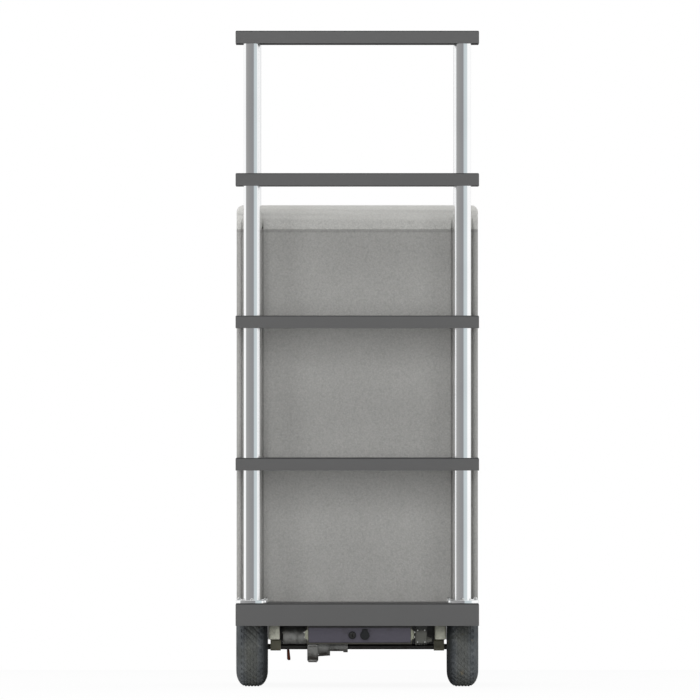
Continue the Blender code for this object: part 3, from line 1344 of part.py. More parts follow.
def make_throttle():
    start = HEAD_WIDTH / 2 + RUNNING_GAP
    end = start + THROTTLE_COLLAR
    inner = round_bore(HANDLE_TUBE_RADIUS, MIDDLE_ROUND)
    outer = inner + THROTTLE_COLLAR_WALL
    throttle = ring("throttle_lever", outer, inner, start, end, BAR, "X")
    half = THROTTLE_THICKNESS / 2
    root = BAR.z - inner - THROTTLE_COLLAR_WALL / 2
    tip = BAR.z - THROTTLE_REACH
    paddle = filleted(rectangle((BAR.y - half, tip), (BAR.y + half, root)), THROTTLE_ROUND)
    join(throttle, extruded("throttle_paddle", [paddle], start, end, "X"))
    return paint(throttle, BLACK_PLASTIC)


def make_cart():
    make_deck()
    make_frame()
    make_rack()
    make_bin()
    make_lid()
    make_drive_wheels()
    make_shaft_hangers()
    make_gear_case()
    make_motor()
    make_brake_lever()
    make_motor_saddle()
    make_drive_channel()
    make_battery()
    make_battery_strap()
    make_key_switch()
    make_charging_socket()
    make_controller()
    make_caster("left_caster", CASTER_INSET - WIDTH / 2)
    make_caster("right_caster", WIDTH / 2 - CASTER_INSET)
    make_handle_feet()
    make_push_handle()
    make_grips()
    make_control_head()
    make_head_controls()
    make_throttle()


make_cart()
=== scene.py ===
"""Looks of the electric moving cart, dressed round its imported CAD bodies.

Metres, +Z up. The rack end faces -Y and the handle end +Y.
"""
import json
import math

import bmesh
import bpy
from mathutils import Matrix, Vector
from mathutils.bvhtree import BVHTree


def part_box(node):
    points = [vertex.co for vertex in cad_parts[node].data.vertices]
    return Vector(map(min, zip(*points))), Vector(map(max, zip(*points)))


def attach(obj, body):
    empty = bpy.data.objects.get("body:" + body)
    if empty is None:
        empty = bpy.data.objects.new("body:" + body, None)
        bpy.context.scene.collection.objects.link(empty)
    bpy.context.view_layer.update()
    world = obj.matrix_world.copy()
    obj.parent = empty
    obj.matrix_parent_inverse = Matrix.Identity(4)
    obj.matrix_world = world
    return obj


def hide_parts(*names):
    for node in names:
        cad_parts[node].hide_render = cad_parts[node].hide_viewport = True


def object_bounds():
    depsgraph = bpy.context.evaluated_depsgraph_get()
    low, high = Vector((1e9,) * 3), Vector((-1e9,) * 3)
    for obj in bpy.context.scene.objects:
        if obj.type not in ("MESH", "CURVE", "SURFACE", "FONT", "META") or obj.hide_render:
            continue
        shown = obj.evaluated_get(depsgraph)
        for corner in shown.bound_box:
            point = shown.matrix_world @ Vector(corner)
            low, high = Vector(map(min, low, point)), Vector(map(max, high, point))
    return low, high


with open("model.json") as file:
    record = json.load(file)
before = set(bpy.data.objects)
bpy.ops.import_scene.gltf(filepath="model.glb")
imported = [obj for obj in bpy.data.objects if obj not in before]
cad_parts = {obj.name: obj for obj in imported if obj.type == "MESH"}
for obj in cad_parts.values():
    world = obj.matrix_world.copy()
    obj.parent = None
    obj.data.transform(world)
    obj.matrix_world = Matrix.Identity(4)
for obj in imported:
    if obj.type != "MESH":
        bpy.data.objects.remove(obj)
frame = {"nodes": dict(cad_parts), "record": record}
cad_low, cad_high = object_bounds()
NODES = frame["nodes"]
SLOT_OF = {part["node"]: part["material_slot"] for part in frame["record"]["subparts"]}
BODY_OF = {node: body for body, members in frame["record"]["behaviour"]["bodies"].items()
           for node in members}

# Photograph's view: a front elevation from far away
VIEW_LENS = 1200
VIEW_SENSOR = 36
VIEW_WIDTH = 1.897
VIEW_X = -0.0198
VIEW_Z = 0.9146


# Shader tools

def feed(tree, socket, value):
    if isinstance(value, bpy.types.NodeSocket):
        tree.links.new(value, socket)
    else:
        socket.default_value = value


def node(tree, kind, sockets=None, **settings):
    made = tree.nodes.new("ShaderNode" + kind)
    for key, value in settings.items():
        setattr(made, key, value)
    for key, value in (sockets or {}).items():
        feed(tree, made.inputs[key], value)
    return made


def calc(tree, operation, first, second=0.0, clamp=False):
    return node(tree, "Math", {0: first, 1: second}, operation=operation, use_clamp=clamp).outputs[0]


def times(tree, first, second):
    return calc(tree, "MULTIPLY", first, second)


def less(tree, first, second):
    return calc(tree, "SUBTRACT", first, second)


def raised(tree, least, mask, gain):
    """A value with a share of a mask added to it."""
    return calc(tree, "ADD", least, times(tree, mask, gain))


def ease(tree, value, low, high):
    """A smooth step from 0 to 1 as the value goes from low to high."""
    sockets = {"Value": value, "From Min": low, "From Max": high}
    return node(tree, "MapRange", sockets, interpolation_type="SMOOTHSTEP").outputs["Result"]


def mixed(tree, factor, plain, other, how="MIX"):
    """Two colours mixed; each is a socket or a (red, green, blue) tuple."""
    plain, other = [(*colour, 1.0) if isinstance(colour, tuple) else colour for colour in (plain, other)]
    sockets = {0: factor, 6: plain, 7: other}
    return node(tree, "Mix", sockets, data_type="RGBA", blend_type=how).outputs[2]


def tinted(tree, colour, mask, amount, tint):
    return mixed(tree, times(tree, mask, amount), colour, tint)


def part_place(tree):
    """The place on the part, in metres."""
    return node(tree, "TexCoord").outputs["Object"]


def noise(tree, scale, detail=2.0, roughness=0.5, where=None):
    """Cloudy noise from 0 to 1, at the place on the part unless another is given."""
    sockets = {"Vector": part_place(tree) if where is None else where, "Scale": scale,
               "Detail": detail, "Roughness": roughness}
    return node(tree, "TexNoise", sockets).outputs["Fac"]


def axis_of(tree, vector, axis):
    return node(tree, "SeparateXYZ", {0: vector}).outputs[axis]


def looks_up(tree):
    """1 on a face that looks up, 0 on an upright face and -1 on one that looks down."""
    return axis_of(tree, node(tree, "NewGeometry").outputs["Normal"], "Z")


def patches(tree, scale, detail, roughness, low, high):
    """A mask of cloudy patches."""
    return ease(tree, noise(tree, scale, detail, roughness), low, high)


def uneven(tree, scale):
    """Fine clouds about zero."""
    return less(tree, noise(tree, scale, 4.0, 0.6), 0.5)


def new_group(name, inputs, *outputs):
    """A shared group; all its sockets are numbers."""
    group = bpy.data.node_groups.new(name, "ShaderNodeTree")
    for label, value in inputs.items():
        socket = group.interface.new_socket(name=label, in_out="INPUT", socket_type="NodeSocketFloat")
        socket.default_value = value
    for label in outputs:
        group.interface.new_socket(name=label, in_out="OUTPUT", socket_type="NodeSocketFloat")
    inside = group.nodes.new("NodeGroupInput")
    outside = group.nodes.new("NodeGroupOutput")
    return group, inside.outputs, outside.inputs


def use_group(tree, group, sockets):
    made = tree.nodes.new("ShaderNodeGroup")
    made.node_tree = group
    for key, value in sockets.items():
        feed(tree, made.inputs[key], value)
    return made.outputs


def coated(tree, colour, group, sockets, coat):
    """A colour with another over it where a shared group's mask is."""
    return mixed(tree, use_group(tree, group, sockets)["Mask"], colour, coat)


def give_mask(group, given, out, share):
    """Feeds a group's mask with a share of its amount."""
    feed(group, out["Mask"], calc(group, "MULTIPLY", share, given["Amount"], clamp=True))
    return group


def make_orange_peel():
    """Small rounded bumps of a powder coat or a moulded skin, with faint shade changes."""
    group, given, out = new_group("orange peel", {"Cells per metre": 400.0, "Unevenness": 0.5},
                                  "Height", "Shade")
    where = part_place(group)
    stirred = node(group, "TexNoise", {"Vector": where, "Scale": 60.0, "Detail": 1.0})
    where = node(group, "VectorMath", {0: stirred.outputs["Color"], 1: (0.004, 0.004, 0.004)},
                 operation="MULTIPLY").outputs[0]
    where = node(group, "VectorMath", {0: where, 1: part_place(group)}, operation="ADD").outputs[0]
    cells = node(group, "TexVoronoi", {"Vector": where, "Scale": given["Cells per metre"],
                                       "Smoothness": 0.6}, feature="SMOOTH_F1")
    height = less(group, 1.0, cells.outputs["Distance"])
    fine = noise(group, times(group, given["Cells per metre"], 1.7))
    broad = noise(group, 7.0, 3.0)
    feed(group, out["Height"], raised(group, height, fine, 0.4))
    speckle = less(group, raised(group, fine, height, 0.5), 0.85)
    clouds = times(group, less(group, broad, 0.5), 0.35)
    total = times(group, calc(group, "ADD", speckle, clouds), given["Unevenness"])
    feed(group, out["Shade"], calc(group, "ADD", total, 1.0))
    return group


def make_edge_wear():
    """A mask of the corners where handling has rubbed a finish, broken up by noise."""
    group, given, out = new_group("edge wear", {"Reach": 0.0015, "Amount": 0.6, "Patches per metre": 25.0},
                                  "Mask")
    rounded = node(group, "Bevel", {"Radius": given["Reach"]}, samples=4).outputs["Normal"]
    plain = node(group, "NewGeometry").outputs["True Normal"]
    same = node(group, "VectorMath", {0: rounded, 1: plain}, operation="DOT_PRODUCT").outputs["Value"]
    edge = ease(group, less(group, 1.0, same), 0.02, 0.25)
    patch = patches(group, given["Patches per metre"], 4.0, 0.65, 0.48, 0.68)
    return give_mask(group, given, out, times(group, edge, patch))


def make_settled_dust():
    """Dust that lies on faces that look up, thicker in patches."""
    group, given, out = new_group("settled dust", {"Amount": 0.4}, "Mask")
    lies = ease(group, looks_up(group), 0.5, 0.95)
    lies = times(group, lies, patches(group, 9.0, 5.0, 0.6, 0.35, 0.75))
    return give_mask(group, given, out, lies)


def make_scuffs():
    """Fine scratches that run in many directions, and dull rubbed patches."""
    group, given, out = new_group("scuffs", {"Scratches per metre": 30.0, "Amount": 0.5},
                                  "Scratch", "Rub")
    bent = node(group, "Mapping", {"Vector": part_place(group), "Rotation": (0.6, 0.9, 0.4),
                                   "Scale": (1.0, 14.0, 1.0)}).outputs[0]
    fine = noise(group, given["Scratches per metre"], 6.0, 0.8, bent)
    scratch = ease(group, fine, 0.66, 0.72)
    rub = patches(group, 11.0, 4.0, 0.6, 0.45, 0.8)
    feed(group, out["Scratch"], times(group, scratch, given["Amount"]))
    feed(group, out["Rub"], times(group, rub, given["Amount"]))
    return group


def make_cast_skin():
    """The pitted, cloudy skin of a sand casting or a zinc bath."""
    group, given, out = new_group("cast skin", {"Pits per metre": 700.0, "Cloudiness": 0.5},
                                  "Height", "Shade")
    pits = noise(group, given["Pits per metre"], 3.0, 0.7)
    clouds = noise(group, 38.0, 5.0, 0.65)
    spangle = node(group, "TexVoronoi", {"Vector": part_place(group), "Scale": 160.0}).outputs["Color"]
    patch = times(group, less(group, axis_of(group, spangle, "X"), 0.5), 0.2)
    shade = calc(group, "ADD", less(group, clouds, 0.5), patch)
    shade = times(group, shade, given["Cloudiness"])
    feed(group, out["Height"], pits)
    feed(group, out["Shade"], calc(group, "ADD", shade, 1.0))
    return group


def make_level_shade():
    """Painted shade that thickens towards a level from below, such as the deck's shadow on the parts under
    it, broken up by noise.
    """
    group, given, out = new_group("level grime", {"Level": 0.16, "Reach": 0.02, "Amount": 0.6}, "Mask")
    ragged = raised(group, axis_of(group, part_place(group), "Z"), uneven(group, 45.0), given["Reach"])
    start = less(group, given["Level"], given["Reach"])
    below = less(group, ragged, start)
    share = ease(group, calc(group, "DIVIDE", below, given["Reach"]), 0.2, 1.2)
    return give_mask(group, given, out, share)


def make_underside_dirt_and_shade():
    """Oil and dirt, and painted shade, on faces that look down."""
    group, given, out = new_group("underside dirt", {"Amount": 0.6}, "Mask")
    share = ease(group, raised(group, uneven(group, 60.0), looks_up(group), -1.0), 0.25, 0.95)
    return give_mask(group, given, out, share)


def make_bend_shade():
    """Painted shade along folded edges, where a face turns up or down."""
    group, given, out = new_group("bend grime", {"Amount": 0.4}, "Mask")
    tilt = calc(group, "ABSOLUTE", looks_up(group))
    share = times(group, ease(group, tilt, 0.08, 0.40), ease(group, tilt, 0.99, 0.85))
    return give_mask(group, given, out, share)


ORANGE_PEEL = make_orange_peel()
EDGE_WEAR = make_edge_wear()
SETTLED_DUST = make_settled_dust()
SCUFFS = make_scuffs()
CAST_SKIN = make_cast_skin()
LEVEL_SHADE = make_level_shade()
UNDERSIDE_DIRT_AND_SHADE = make_underside_dirt_and_shade()
BEND_SHADE = make_bend_shade()


def new_material(name, metallic=0.0, specular=0.5, roughness=0.5):
    material = bpy.data.materials.new(name)
    material.use_nodes = True
    tree = material.node_tree
    shader = tree.nodes["Principled BSDF"].inputs
    shader["Roughness"].default_value = roughness
    shader["Metallic"].default_value = metallic
    shader["Specular IOR Level"].default_value = specular
    return material, tree, shader


def shaded(tree, colour, shade):
    """A colour made lighter or darker by a number that is the same for all its channels."""
    grey = node(tree, "CombineColor", {0: shade, 1: shade, 2: shade}).outputs[0]
    return mixed(tree, 1.0, colour, grey, "MULTIPLY")


def grained(tree, colour, group, spots, unevenness):
    """A colour clouded by a shared relief group, and the group's height."""
    skin = use_group(tree, group, {0: spots, 1: unevenness})
    return shaded(tree, colour, skin["Shade"]), skin["Height"]


def surfaced(tree, shader, colour, roughness, height, depth):
    """Feeds a shader its colour, its roughness, and relief of a depth in metres."""
    feed(tree, shader["Base Color"], colour)
    feed(tree, shader["Roughness"], roughness)
    relief = node(tree, "Bump", {"Height": height, "Distance": depth})
    feed(tree, shader["Normal"], relief.outputs[0])


# Finishes of this cart

def dark_powder_coat(name, fold_shade):
    """Satin dark grey powder coat of the shelves, deck, rails and handle, with painted shade along its
    folds when a share is given for it.
    """
    material, tree, shader = new_material(name, specular=0.35)
    colour, relief = grained(tree, (0.090, 0.090, 0.090), ORANGE_PEEL, 900.0, 0.12)
    # Painted shade along bends
    colour = coated(tree, colour, BEND_SHADE, {"Amount": fold_shade}, (0.016, 0.016, 0.017))
    colour = coated(tree, colour, EDGE_WEAR, {"Reach": 0.0016, "Amount": 0.18}, (0.17, 0.17, 0.175))
    dust = use_group(tree, SETTLED_DUST, {"Amount": 0.10})["Mask"]
    colour = mixed(tree, dust, colour, (0.26, 0.25, 0.23))
    scuff = use_group(tree, SCUFFS, {"Amount": 0.22})
    colour = mixed(tree, scuff["Scratch"], colour, (0.14, 0.14, 0.14))
    rough = raised(tree, raised(tree, 0.46, scuff["Rub"], 0.4), dust, 0.5)
    surfaced(tree, shader, colour, rough, relief, 0.00012)
    return material


def post_chrome():
    """Polished chrome with a faint haze and fine wiping marks."""
    material, tree, shader = new_material("post chrome", metallic=1.0)
    haze = patches(tree, 6.0, 4.0, 0.5, 0.4, 0.75)
    streaks = node(tree, "Mapping", {"Vector": part_place(tree), "Scale": (260.0, 260.0, 4.0)})
    wiped = noise(tree, 1.0, where=streaks.outputs[0])
    colour = mixed(tree, haze, (0.96, 0.965, 0.97), (0.92, 0.925, 0.93))
    rough = raised(tree, raised(tree, 0.04, haze, 0.04), wiped, 0.04)
    surfaced(tree, shader, colour, rough, wiped, 0.000004)
    return material


def zinc_plate(name, colour, dark, rust):
    """Dull yellow-grey zinc plate with a bloom, dirt and a few rust spots, painted shade under the deck,
    and dirt with painted shade on faces that look down.
    """
    material, tree, shader = new_material(name, metallic=0.1)
    plain, relief = grained(tree, colour, CAST_SKIN, 500.0, 0.9)
    dirt = patches(tree, 30.0, 6.0, 0.7, 0.52, 0.75)
    plain = tinted(tree, plain, dirt, 0.6, dark)
    # Painted shade under the deck edge, thick above the level
    grime_and_shade = {"Level": DECK_EDGE, "Reach": 0.030, "Amount": 0.6}
    plain = coated(tree, plain, LEVEL_SHADE, grime_and_shade, dark)
    plain = tinted(tree, plain, patches(tree, 90.0, 4.0, 0.7, 0.66, 0.74), rust, (0.16, 0.075, 0.03))
    plain = coated(tree, plain, EDGE_WEAR, {"Reach": 0.0012, "Amount": 0.6}, (0.62, 0.62, 0.55))
    # Dirt and painted shade on faces that look down
    plain = coated(tree, plain, UNDERSIDE_DIRT_AND_SHADE, {"Amount": 0.6}, dark)
    surfaced(tree, shader, plain, raised(tree, 0.38, dirt, 0.35), relief, 0.00015)
    return material


def bin_skin(name, colour, top_light=0.0):
    """Moulded bin plastic: a leather-like grain, a painted shadow line under the lid's edge, painted shade
    towards the foot, and painted light that makes faces that look up paler."""
    material, tree, shader = new_material(name, specular=0.35)
    colour, relief = grained(tree, colour, ORANGE_PEEL, 190.0, 0.42)
    # Painted light from above: faces that look up made paler
    up = ease(tree, looks_up(tree), 0.05, 0.45)
    colour = tinted(tree, colour, up, top_light, (0.80, 0.796, 0.765))
    height = axis_of(tree, part_place(tree), "Z")
    # A painted shadow line under the lid's edge
    from_lid_shadow_line = calc(tree, "ABSOLUTE", less(tree, height, LID_SHADOW_LEVEL))
    lid_shadow_line = ease(tree, from_lid_shadow_line, 0.0045, 0.0015)
    colour = tinted(tree, colour, lid_shadow_line, 0.30, (0.16, 0.158, 0.15))
    # Painted shade towards the foot of the bin, over the deck, with a ragged edge
    ragged = raised(tree, height, noise(tree, 14.0, 4.0), 0.08)
    foot = ease(tree, ragged, 0.33, 0.24)
    colour = tinted(tree, colour, foot, 0.18, (0.20, 0.19, 0.175))
    scuff = use_group(tree, SCUFFS, {"Scratches per metre": 22.0, "Amount": 0.35})
    colour = mixed(tree, scuff["Scratch"], colour, (0.38, 0.375, 0.365))
    colour = coated(tree, colour, SETTLED_DUST, {"Amount": 0.18}, (0.42, 0.40, 0.37))
    surfaced(tree, shader, colour, raised(tree, 0.55, scuff["Rub"], 0.3), relief, 0.0007)
    return material


def tyre_rubber():
    """Road-worn rubber: an olive crown, painted shade on the inner flank, and tan soil in patches."""
    material, tree, shader = new_material("worn tyre rubber", specular=0.25)
    blotch = noise(tree, 26.0, 5.0, 0.65)
    worn = ease(tree, blotch, 0.35, 0.7)
    colour = mixed(tree, worn, (0.078, 0.086, 0.094), (0.136, 0.145, 0.151))
    sideways = calc(tree, "ABSOLUTE", axis_of(tree, part_place(tree), "X"))
    outwards = less(tree, sideways, TYRE_MIDDLE)
    crown = ease(tree, calc(tree, "ABSOLUTE", outwards), 0.026, 0.008)
    colour = tinted(tree, colour, crown, 0.45, (0.112, 0.113, 0.094))
    # Painted shade on the inner flank, which lies under the deck
    inner_flank_shade = ease(tree, outwards, -0.020, -0.036)
    colour = tinted(tree, colour, inner_flank_shade, 0.8, (0.018, 0.020, 0.022))
    soil = patches(tree, 34.0, 6.0, 0.72, 0.60, 0.72)
    colour = tinted(tree, colour, soil, 0.55, (0.20, 0.165, 0.10))
    green = patches(tree, 12.0, 3.0, 0.5, 0.5, 0.75)
    colour = tinted(tree, colour, green, 0.35, (0.085, 0.085, 0.06))
    grain = noise(tree, 900.0, 3.0)
    surfaced(tree, shader, colour, raised(tree, 0.7, blotch, 0.25), grain, 0.0003)
    return material


def cast_metal():
    """Grey sand-cast housing with dark grime, dirt and painted shade on faces that look down, and rubbed
    edges.
    """
    material, tree, shader = new_material("grey casting", metallic=0.35)
    colour, relief = grained(tree, (0.31, 0.312, 0.30), CAST_SKIN, 420.0, 0.8)
    grime_and_shade = patches(tree, 42.0, 6.0, 0.7, 0.5, 0.72)
    colour = tinted(tree, colour, grime_and_shade, 0.7, (0.05, 0.048, 0.04))
    colour = coated(tree, colour, EDGE_WEAR, {"Reach": 0.0016, "Amount": 0.35}, (0.42, 0.42, 0.40))
    # Dirt and painted shade on faces that look down
    colour = coated(tree, colour, UNDERSIDE_DIRT_AND_SHADE, {"Amount": 0.85}, (0.035, 0.026, 0.020))
    surfaced(tree, shader, colour, raised(tree, 0.45, grime_and_shade, 0.3), relief, 0.0004)
    return material


def enamel(name, colour, roughness, metallic=0.0, grime_and_shade=None, specular=0.5):
    """Brushed-on machine enamel with rubbed corners; the level and reach given for the painted shade under
    the deck set where that shade is thick, above the level, and how far it thins out below that."""
    material, tree, shader = new_material(name, metallic, specular)
    plain, relief = grained(tree, colour, ORANGE_PEEL, 600.0, 0.3)
    stain = patches(tree, 24.0, 6.0, 0.7, 0.5, 0.8)
    plain = tinted(tree, plain, stain, 0.45, (0.03, 0.028, 0.025))
    plain = coated(tree, plain, EDGE_WEAR, {"Reach": 0.0014, "Amount": 0.5}, (0.22, 0.215, 0.21))
    if grime_and_shade:
        # Painted shade from the deck above, thick above the level
        high = {"Level": grime_and_shade[0], "Reach": grime_and_shade[1], "Amount": 0.92}
        plain = coated(tree, plain, LEVEL_SHADE, high, (0.012, 0.012, 0.011))
    # Dirt and painted shade on faces that look down
    plain = coated(tree, plain, UNDERSIDE_DIRT_AND_SHADE, {"Amount": 0.6}, (0.025, 0.023, 0.020))
    surfaced(tree, shader, plain, raised(tree, roughness, stain, 0.25), relief, 0.00012)
    return material


def moulded_plastic(name, colour, roughness):
    """Fine-grained moulded plastic, paler where hands rub its edges."""
    material, tree, shader = new_material(name, specular=0.25)
    plain, relief = grained(tree, colour, ORANGE_PEEL, 700.0, 0.25)
    pale = tuple(min(1.0, value * 2.2 + 0.02) for value in colour)
    plain = coated(tree, plain, EDGE_WEAR, {"Reach": 0.001, "Amount": 0.3}, pale)
    plain = coated(tree, plain, SETTLED_DUST, {"Amount": 0.08}, (0.25, 0.24, 0.22))
    rub = use_group(tree, SCUFFS, {"Amount": 0.3})["Rub"]
    surfaced(tree, shader, plain, raised(tree, roughness, rub, 0.3), relief, 0.0001)
    return material


def bare_steel(name, colour, roughness):
    """Turned or pressed bare steel with a fine grain and oil stains."""
    material, tree, shader = new_material(name, metallic=0.9)
    stretched = node(tree, "Mapping", {"Vector": part_place(tree), "Scale": (40.0, 700.0, 700.0)})
    grain = noise(tree, 1.0, 3.0, where=stretched.outputs[0])
    stain = patches(tree, 35.0, 5.0, 0.65, 0.5, 0.75)
    plain = shaded(tree, colour, raised(tree, 0.85, grain, 0.3))
    plain = tinted(tree, plain, stain, 0.5, (0.06, 0.05, 0.04))
    surfaced(tree, shader, plain, raised(tree, roughness, stain, 0.3), grain, 0.00002)
    return material


def strap_paint():
    """Dark paint rubbed through to olive zinc at the lugs that hold the battery box."""
    material, tree, shader = new_material("worn strap paint", metallic=0.2)
    zinc, relief = grained(tree, (0.24, 0.245, 0.19), CAST_SKIN, 500.0, 0.7)
    paint = grained(tree, (0.050, 0.048, 0.038), CAST_SKIN, 500.0, 0.7)[0]
    height = raised(tree, axis_of(tree, part_place(tree), "Z"), noise(tree, 120.0), 0.006)
    lug = times(tree, ease(tree, height, 0.128, 0.134), ease(tree, height, 0.163, 0.156))
    surfaced(tree, shader, mixed(tree, lug, paint, zinc), raised(tree, 0.42, lug, 0.12), relief, 0.0001)
    return material


def screen_glass():
    """Glossy dark screen with finger haze."""
    material, tree, shader = new_material("screen glass")
    haze = patches(tree, 55.0, 4.0, 0.6, 0.45, 0.8)
    feed(tree, shader["Base Color"], mixed(tree, haze, (0.012, 0.018, 0.020), (0.03, 0.036, 0.038)))
    feed(tree, shader["Roughness"], raised(tree, 0.06, haze, 0.2))
    return material


def lit_segment():
    """Pale green segments behind the screen, a little uneven."""
    material, tree, shader = new_material("lit segments", roughness=0.4)
    glow = noise(tree, 300.0)
    colour = mixed(tree, glow, (0.20, 0.55, 0.32), (0.30, 0.75, 0.45))
    feed(tree, shader["Base Color"], colour)
    feed(tree, shader["Emission Color"], colour)
    shader["Emission Strength"].default_value = 0.35
    return material


# The painted shadow line under the lid lies a little below the gap itself
LID_SHADOW_LEVEL = (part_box("storage_bin")[1].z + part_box("bin_lid")[0].z) / 2 - 0.0056
DECK_EDGE = 0.167
TYRE_MIDDLE = (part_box("right_drive_tyre")[0].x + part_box("right_drive_tyre")[1].x) / 2
FINISHES = {
    "grey_steel": dark_powder_coat("dark grey powder coat", 0.0),
    "chrome": post_chrome(),
    "zinc": zinc_plate("olive zinc plate", (0.78, 0.785, 0.66), (0.13, 0.127, 0.09), 0.5),
    "bin_plastic": bin_skin("grained bin plastic", (0.455, 0.452, 0.437)),
    "tyre_rubber": tyre_rubber(),
    "cast_metal": cast_metal(),
    # For the motor and box paint, the last pair sets the painted shade under the deck
    "motor_paint": enamel("motor enamel", (0.58, 0.585, 0.565), 0.38, 0.1, (0.150, 0.026)),
    "box_paint": enamel("battery box paint", (0.056, 0.052, 0.068), 0.5, 0.0, (0.1622, 0.0040)),
    "black_plastic": moulded_plastic("black plastic", (0.011, 0.012, 0.013), 0.45),
    "red_plastic": moulded_plastic("stop button red", (0.55, 0.02, 0.015), 0.3),
    "dark_steel": bare_steel("oiled dark steel", (0.055, 0.054, 0.052), 0.38),
    "display_glass": screen_glass(),
}
# The powder coat with painted shade along the folds of the sheet parts
FOLD_SHADED_COAT = dark_powder_coat("dark grey powder coat on folded sheet", 0.95)
# A paler copy of the bin plastic for the lid, painted lighter for the brighter light it gets, with painted
# light on faces that look up
PALE_LIT_LID_PLASTIC = bin_skin("grained lid plastic", (0.650, 0.647, 0.622), 0.45)
STRAP_PAINT = strap_paint()
# The last pair sets the controller's painted shade under the deck
CONTROLLER_PAINT = enamel("controller paint", (0.085, 0.086, 0.075), 0.5, 0.0, (0.155, 0.010))
LEVER_PAINT = enamel("brown red lever paint", (0.120, 0.034, 0.019), 0.55, specular=0.1)
RIM_PAINT = enamel("silver rim paint", (0.30, 0.30, 0.30), 0.42, 0.15)
BEARING_ZINC = zinc_plate("grimy zinc plate", (0.098, 0.095, 0.064), (0.035, 0.033, 0.025), 0.6)
BOLT_STEEL = bare_steel("bright bolt steel", (0.75, 0.75, 0.74), 0.25)
LIT_SEGMENT = lit_segment()
MARKING = moulded_plastic("pale marking paint", (0.55, 0.55, 0.53), 0.5)
SIGNAL_YELLOW = moulded_plastic("signal yellow", (0.62, 0.40, 0.02), 0.4)


# Piece tools

HANDS = ((-1, "left"), (1, "right"))
CORNERS = ("front_left", "front_right", "rear_left", "rear_right")
# How deep a fitting is sunk into the face that it sits on
SUNK = 0.0001


def span(name):
    """The low corner, the high corner and the middle of a CAD node's box."""
    low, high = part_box(name)
    return low, high, (low + high) / 2


def across_axle(name):
    """The middle, the radius and half the width of a CAD node that is round about X."""
    low, high, middle = span(name)
    return middle, (high.z - low.z) / 2, (high.x - low.x) / 2


def finish(thing, material):
    thing.data.materials.clear()
    thing.data.materials.append(material)


def add_object(name, data):
    thing = bpy.data.objects.new(name, data)
    bpy.context.scene.collection.objects.link(thing)
    return thing


def mesh_of(name, work):
    mesh = bpy.data.meshes.new(name)
    work.to_mesh(mesh)
    work.free()
    return mesh


def add_piece(name, work, material, body, slot, sharp_angle=38):
    """A piece on a body; without a material it takes its slot's finish."""
    bmesh.ops.recalc_face_normals(work, faces=work.faces)
    mesh = mesh_of(name, work)
    mesh.shade_smooth()
    mesh.set_sharp_from_angle(angle=math.radians(sharp_angle))
    thing = add_object(name, mesh)
    even = thing.modifiers.new("even shading", "WEIGHTED_NORMAL")
    even.keep_sharp = True
    finish(thing, material or FINISHES[slot])
    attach(thing, body)
    return thing


def add_skin(node_name, ending, work, material=None, sharp_angle=38):
    """A piece that takes the place of a CAD node, on its body, with its slot's finish unless a material is
    given.
    """
    skin = add_piece(node_name + ending, work, material, BODY_OF[node_name], SLOT_OF[node_name],
                     sharp_angle)
    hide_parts(node_name)


def smooth_skin(node_name, material=None):
    """A CAD node's own form with its round faces shaded smooth."""
    work = bmesh.new()
    work.from_mesh(NODES[node_name].data)
    bmesh.ops.remove_doubles(work, verts=work.verts, dist=0.00002)
    add_skin(node_name, "_skin", work, material)


def placed(place, axis=(0, 0, 1)):
    """A matrix that stands +Z along the axis at a place."""
    return Matrix.Translation(place) @ Vector(axis).to_track_quat("Z", "Y").to_matrix().to_4x4()


def lying(place, normal):
    """A matrix at a place, with Z along the normal and X as near as can be to the cart's X."""
    up = normal.normalized()
    across = up.cross(Vector((1, 0, 0))).normalized()
    along = across.cross(up)
    return Matrix.Translation(place) @ Matrix((along, across, up)).transposed().to_4x4()


def surface(name, start, direction):
    """Where a straight line first meets a CAD node, and the face's normal there."""
    mesh = NODES[name].data
    corners = [corner.co for corner in mesh.vertices]
    tree = BVHTree.FromPolygons(corners, [list(face.vertices) for face in mesh.polygons])
    return tree.ray_cast(Vector(start), Vector(direction))[:2]


def add_raised(work, outline, height, matrix):
    """A thin raised shape on a surface; the outline lists its (x, y) corners."""
    low = [work.verts.new(matrix @ Vector((x, y, -SUNK))) for x, y in outline]
    high = [work.verts.new(matrix @ Vector((x, y, height))) for x, y in outline]
    work.faces.new(low[::-1])
    work.faces.new(high)
    for index in range(len(outline)):
        after = (index + 1) % len(outline)
        work.faces.new([low[index], low[after], high[after], high[index]])


def add_turned(work, profile, matrix, steps=48, sink=None, closed=False):
    """Adds a body of revolution. The profile lists (radius, height); sink gives how far the
    surface lies under it at an angle and a profile point; closed joins its end to its start."""
    rows = []
    for radius, height in profile:
        if radius < 1e-6:
            rows.append([work.verts.new(matrix @ Vector((0, 0, height)))])
            continue
        row = []
        for step in range(steps):
            angle = math.tau * step / steps
            reach = radius - (sink(angle, radius, height) if sink else 0.0)
            spot = Vector((reach * math.cos(angle), reach * math.sin(angle), height))
            row.append(work.verts.new(matrix @ spot))
        rows.append(row)
    for lower, upper in zip(rows, rows[1:] + (rows[:1] if closed else [])):
        for step in range(steps):
            after = (step + 1) % steps
            corners = [lower[step % len(lower)], lower[after % len(lower)],
                       upper[after % len(upper)], upper[step % len(upper)]]
            work.faces.new(list(dict.fromkeys(corners)))


def turned(profile, matrix, steps=48, sink=None, closed=False):
    work = bmesh.new()
    add_turned(work, profile, matrix, steps, sink, closed)
    return work


def mirrored(side):
    """A profile's right side, followed by its mirror image on the left."""
    return side + [(radius, -along) for radius, along in reversed(side)]


def arc(centre, radii, start, end, steps):
    """Points on an arc in a plane; angles are degrees from its first axis to its second."""
    across, up = radii if isinstance(radii, tuple) else (radii, radii)
    turns = [math.radians(start + (end - start) * step / steps) for step in range(steps + 1)]
    return [(centre[0] + across * math.cos(turn), centre[1] + up * math.sin(turn)) for turn in turns]


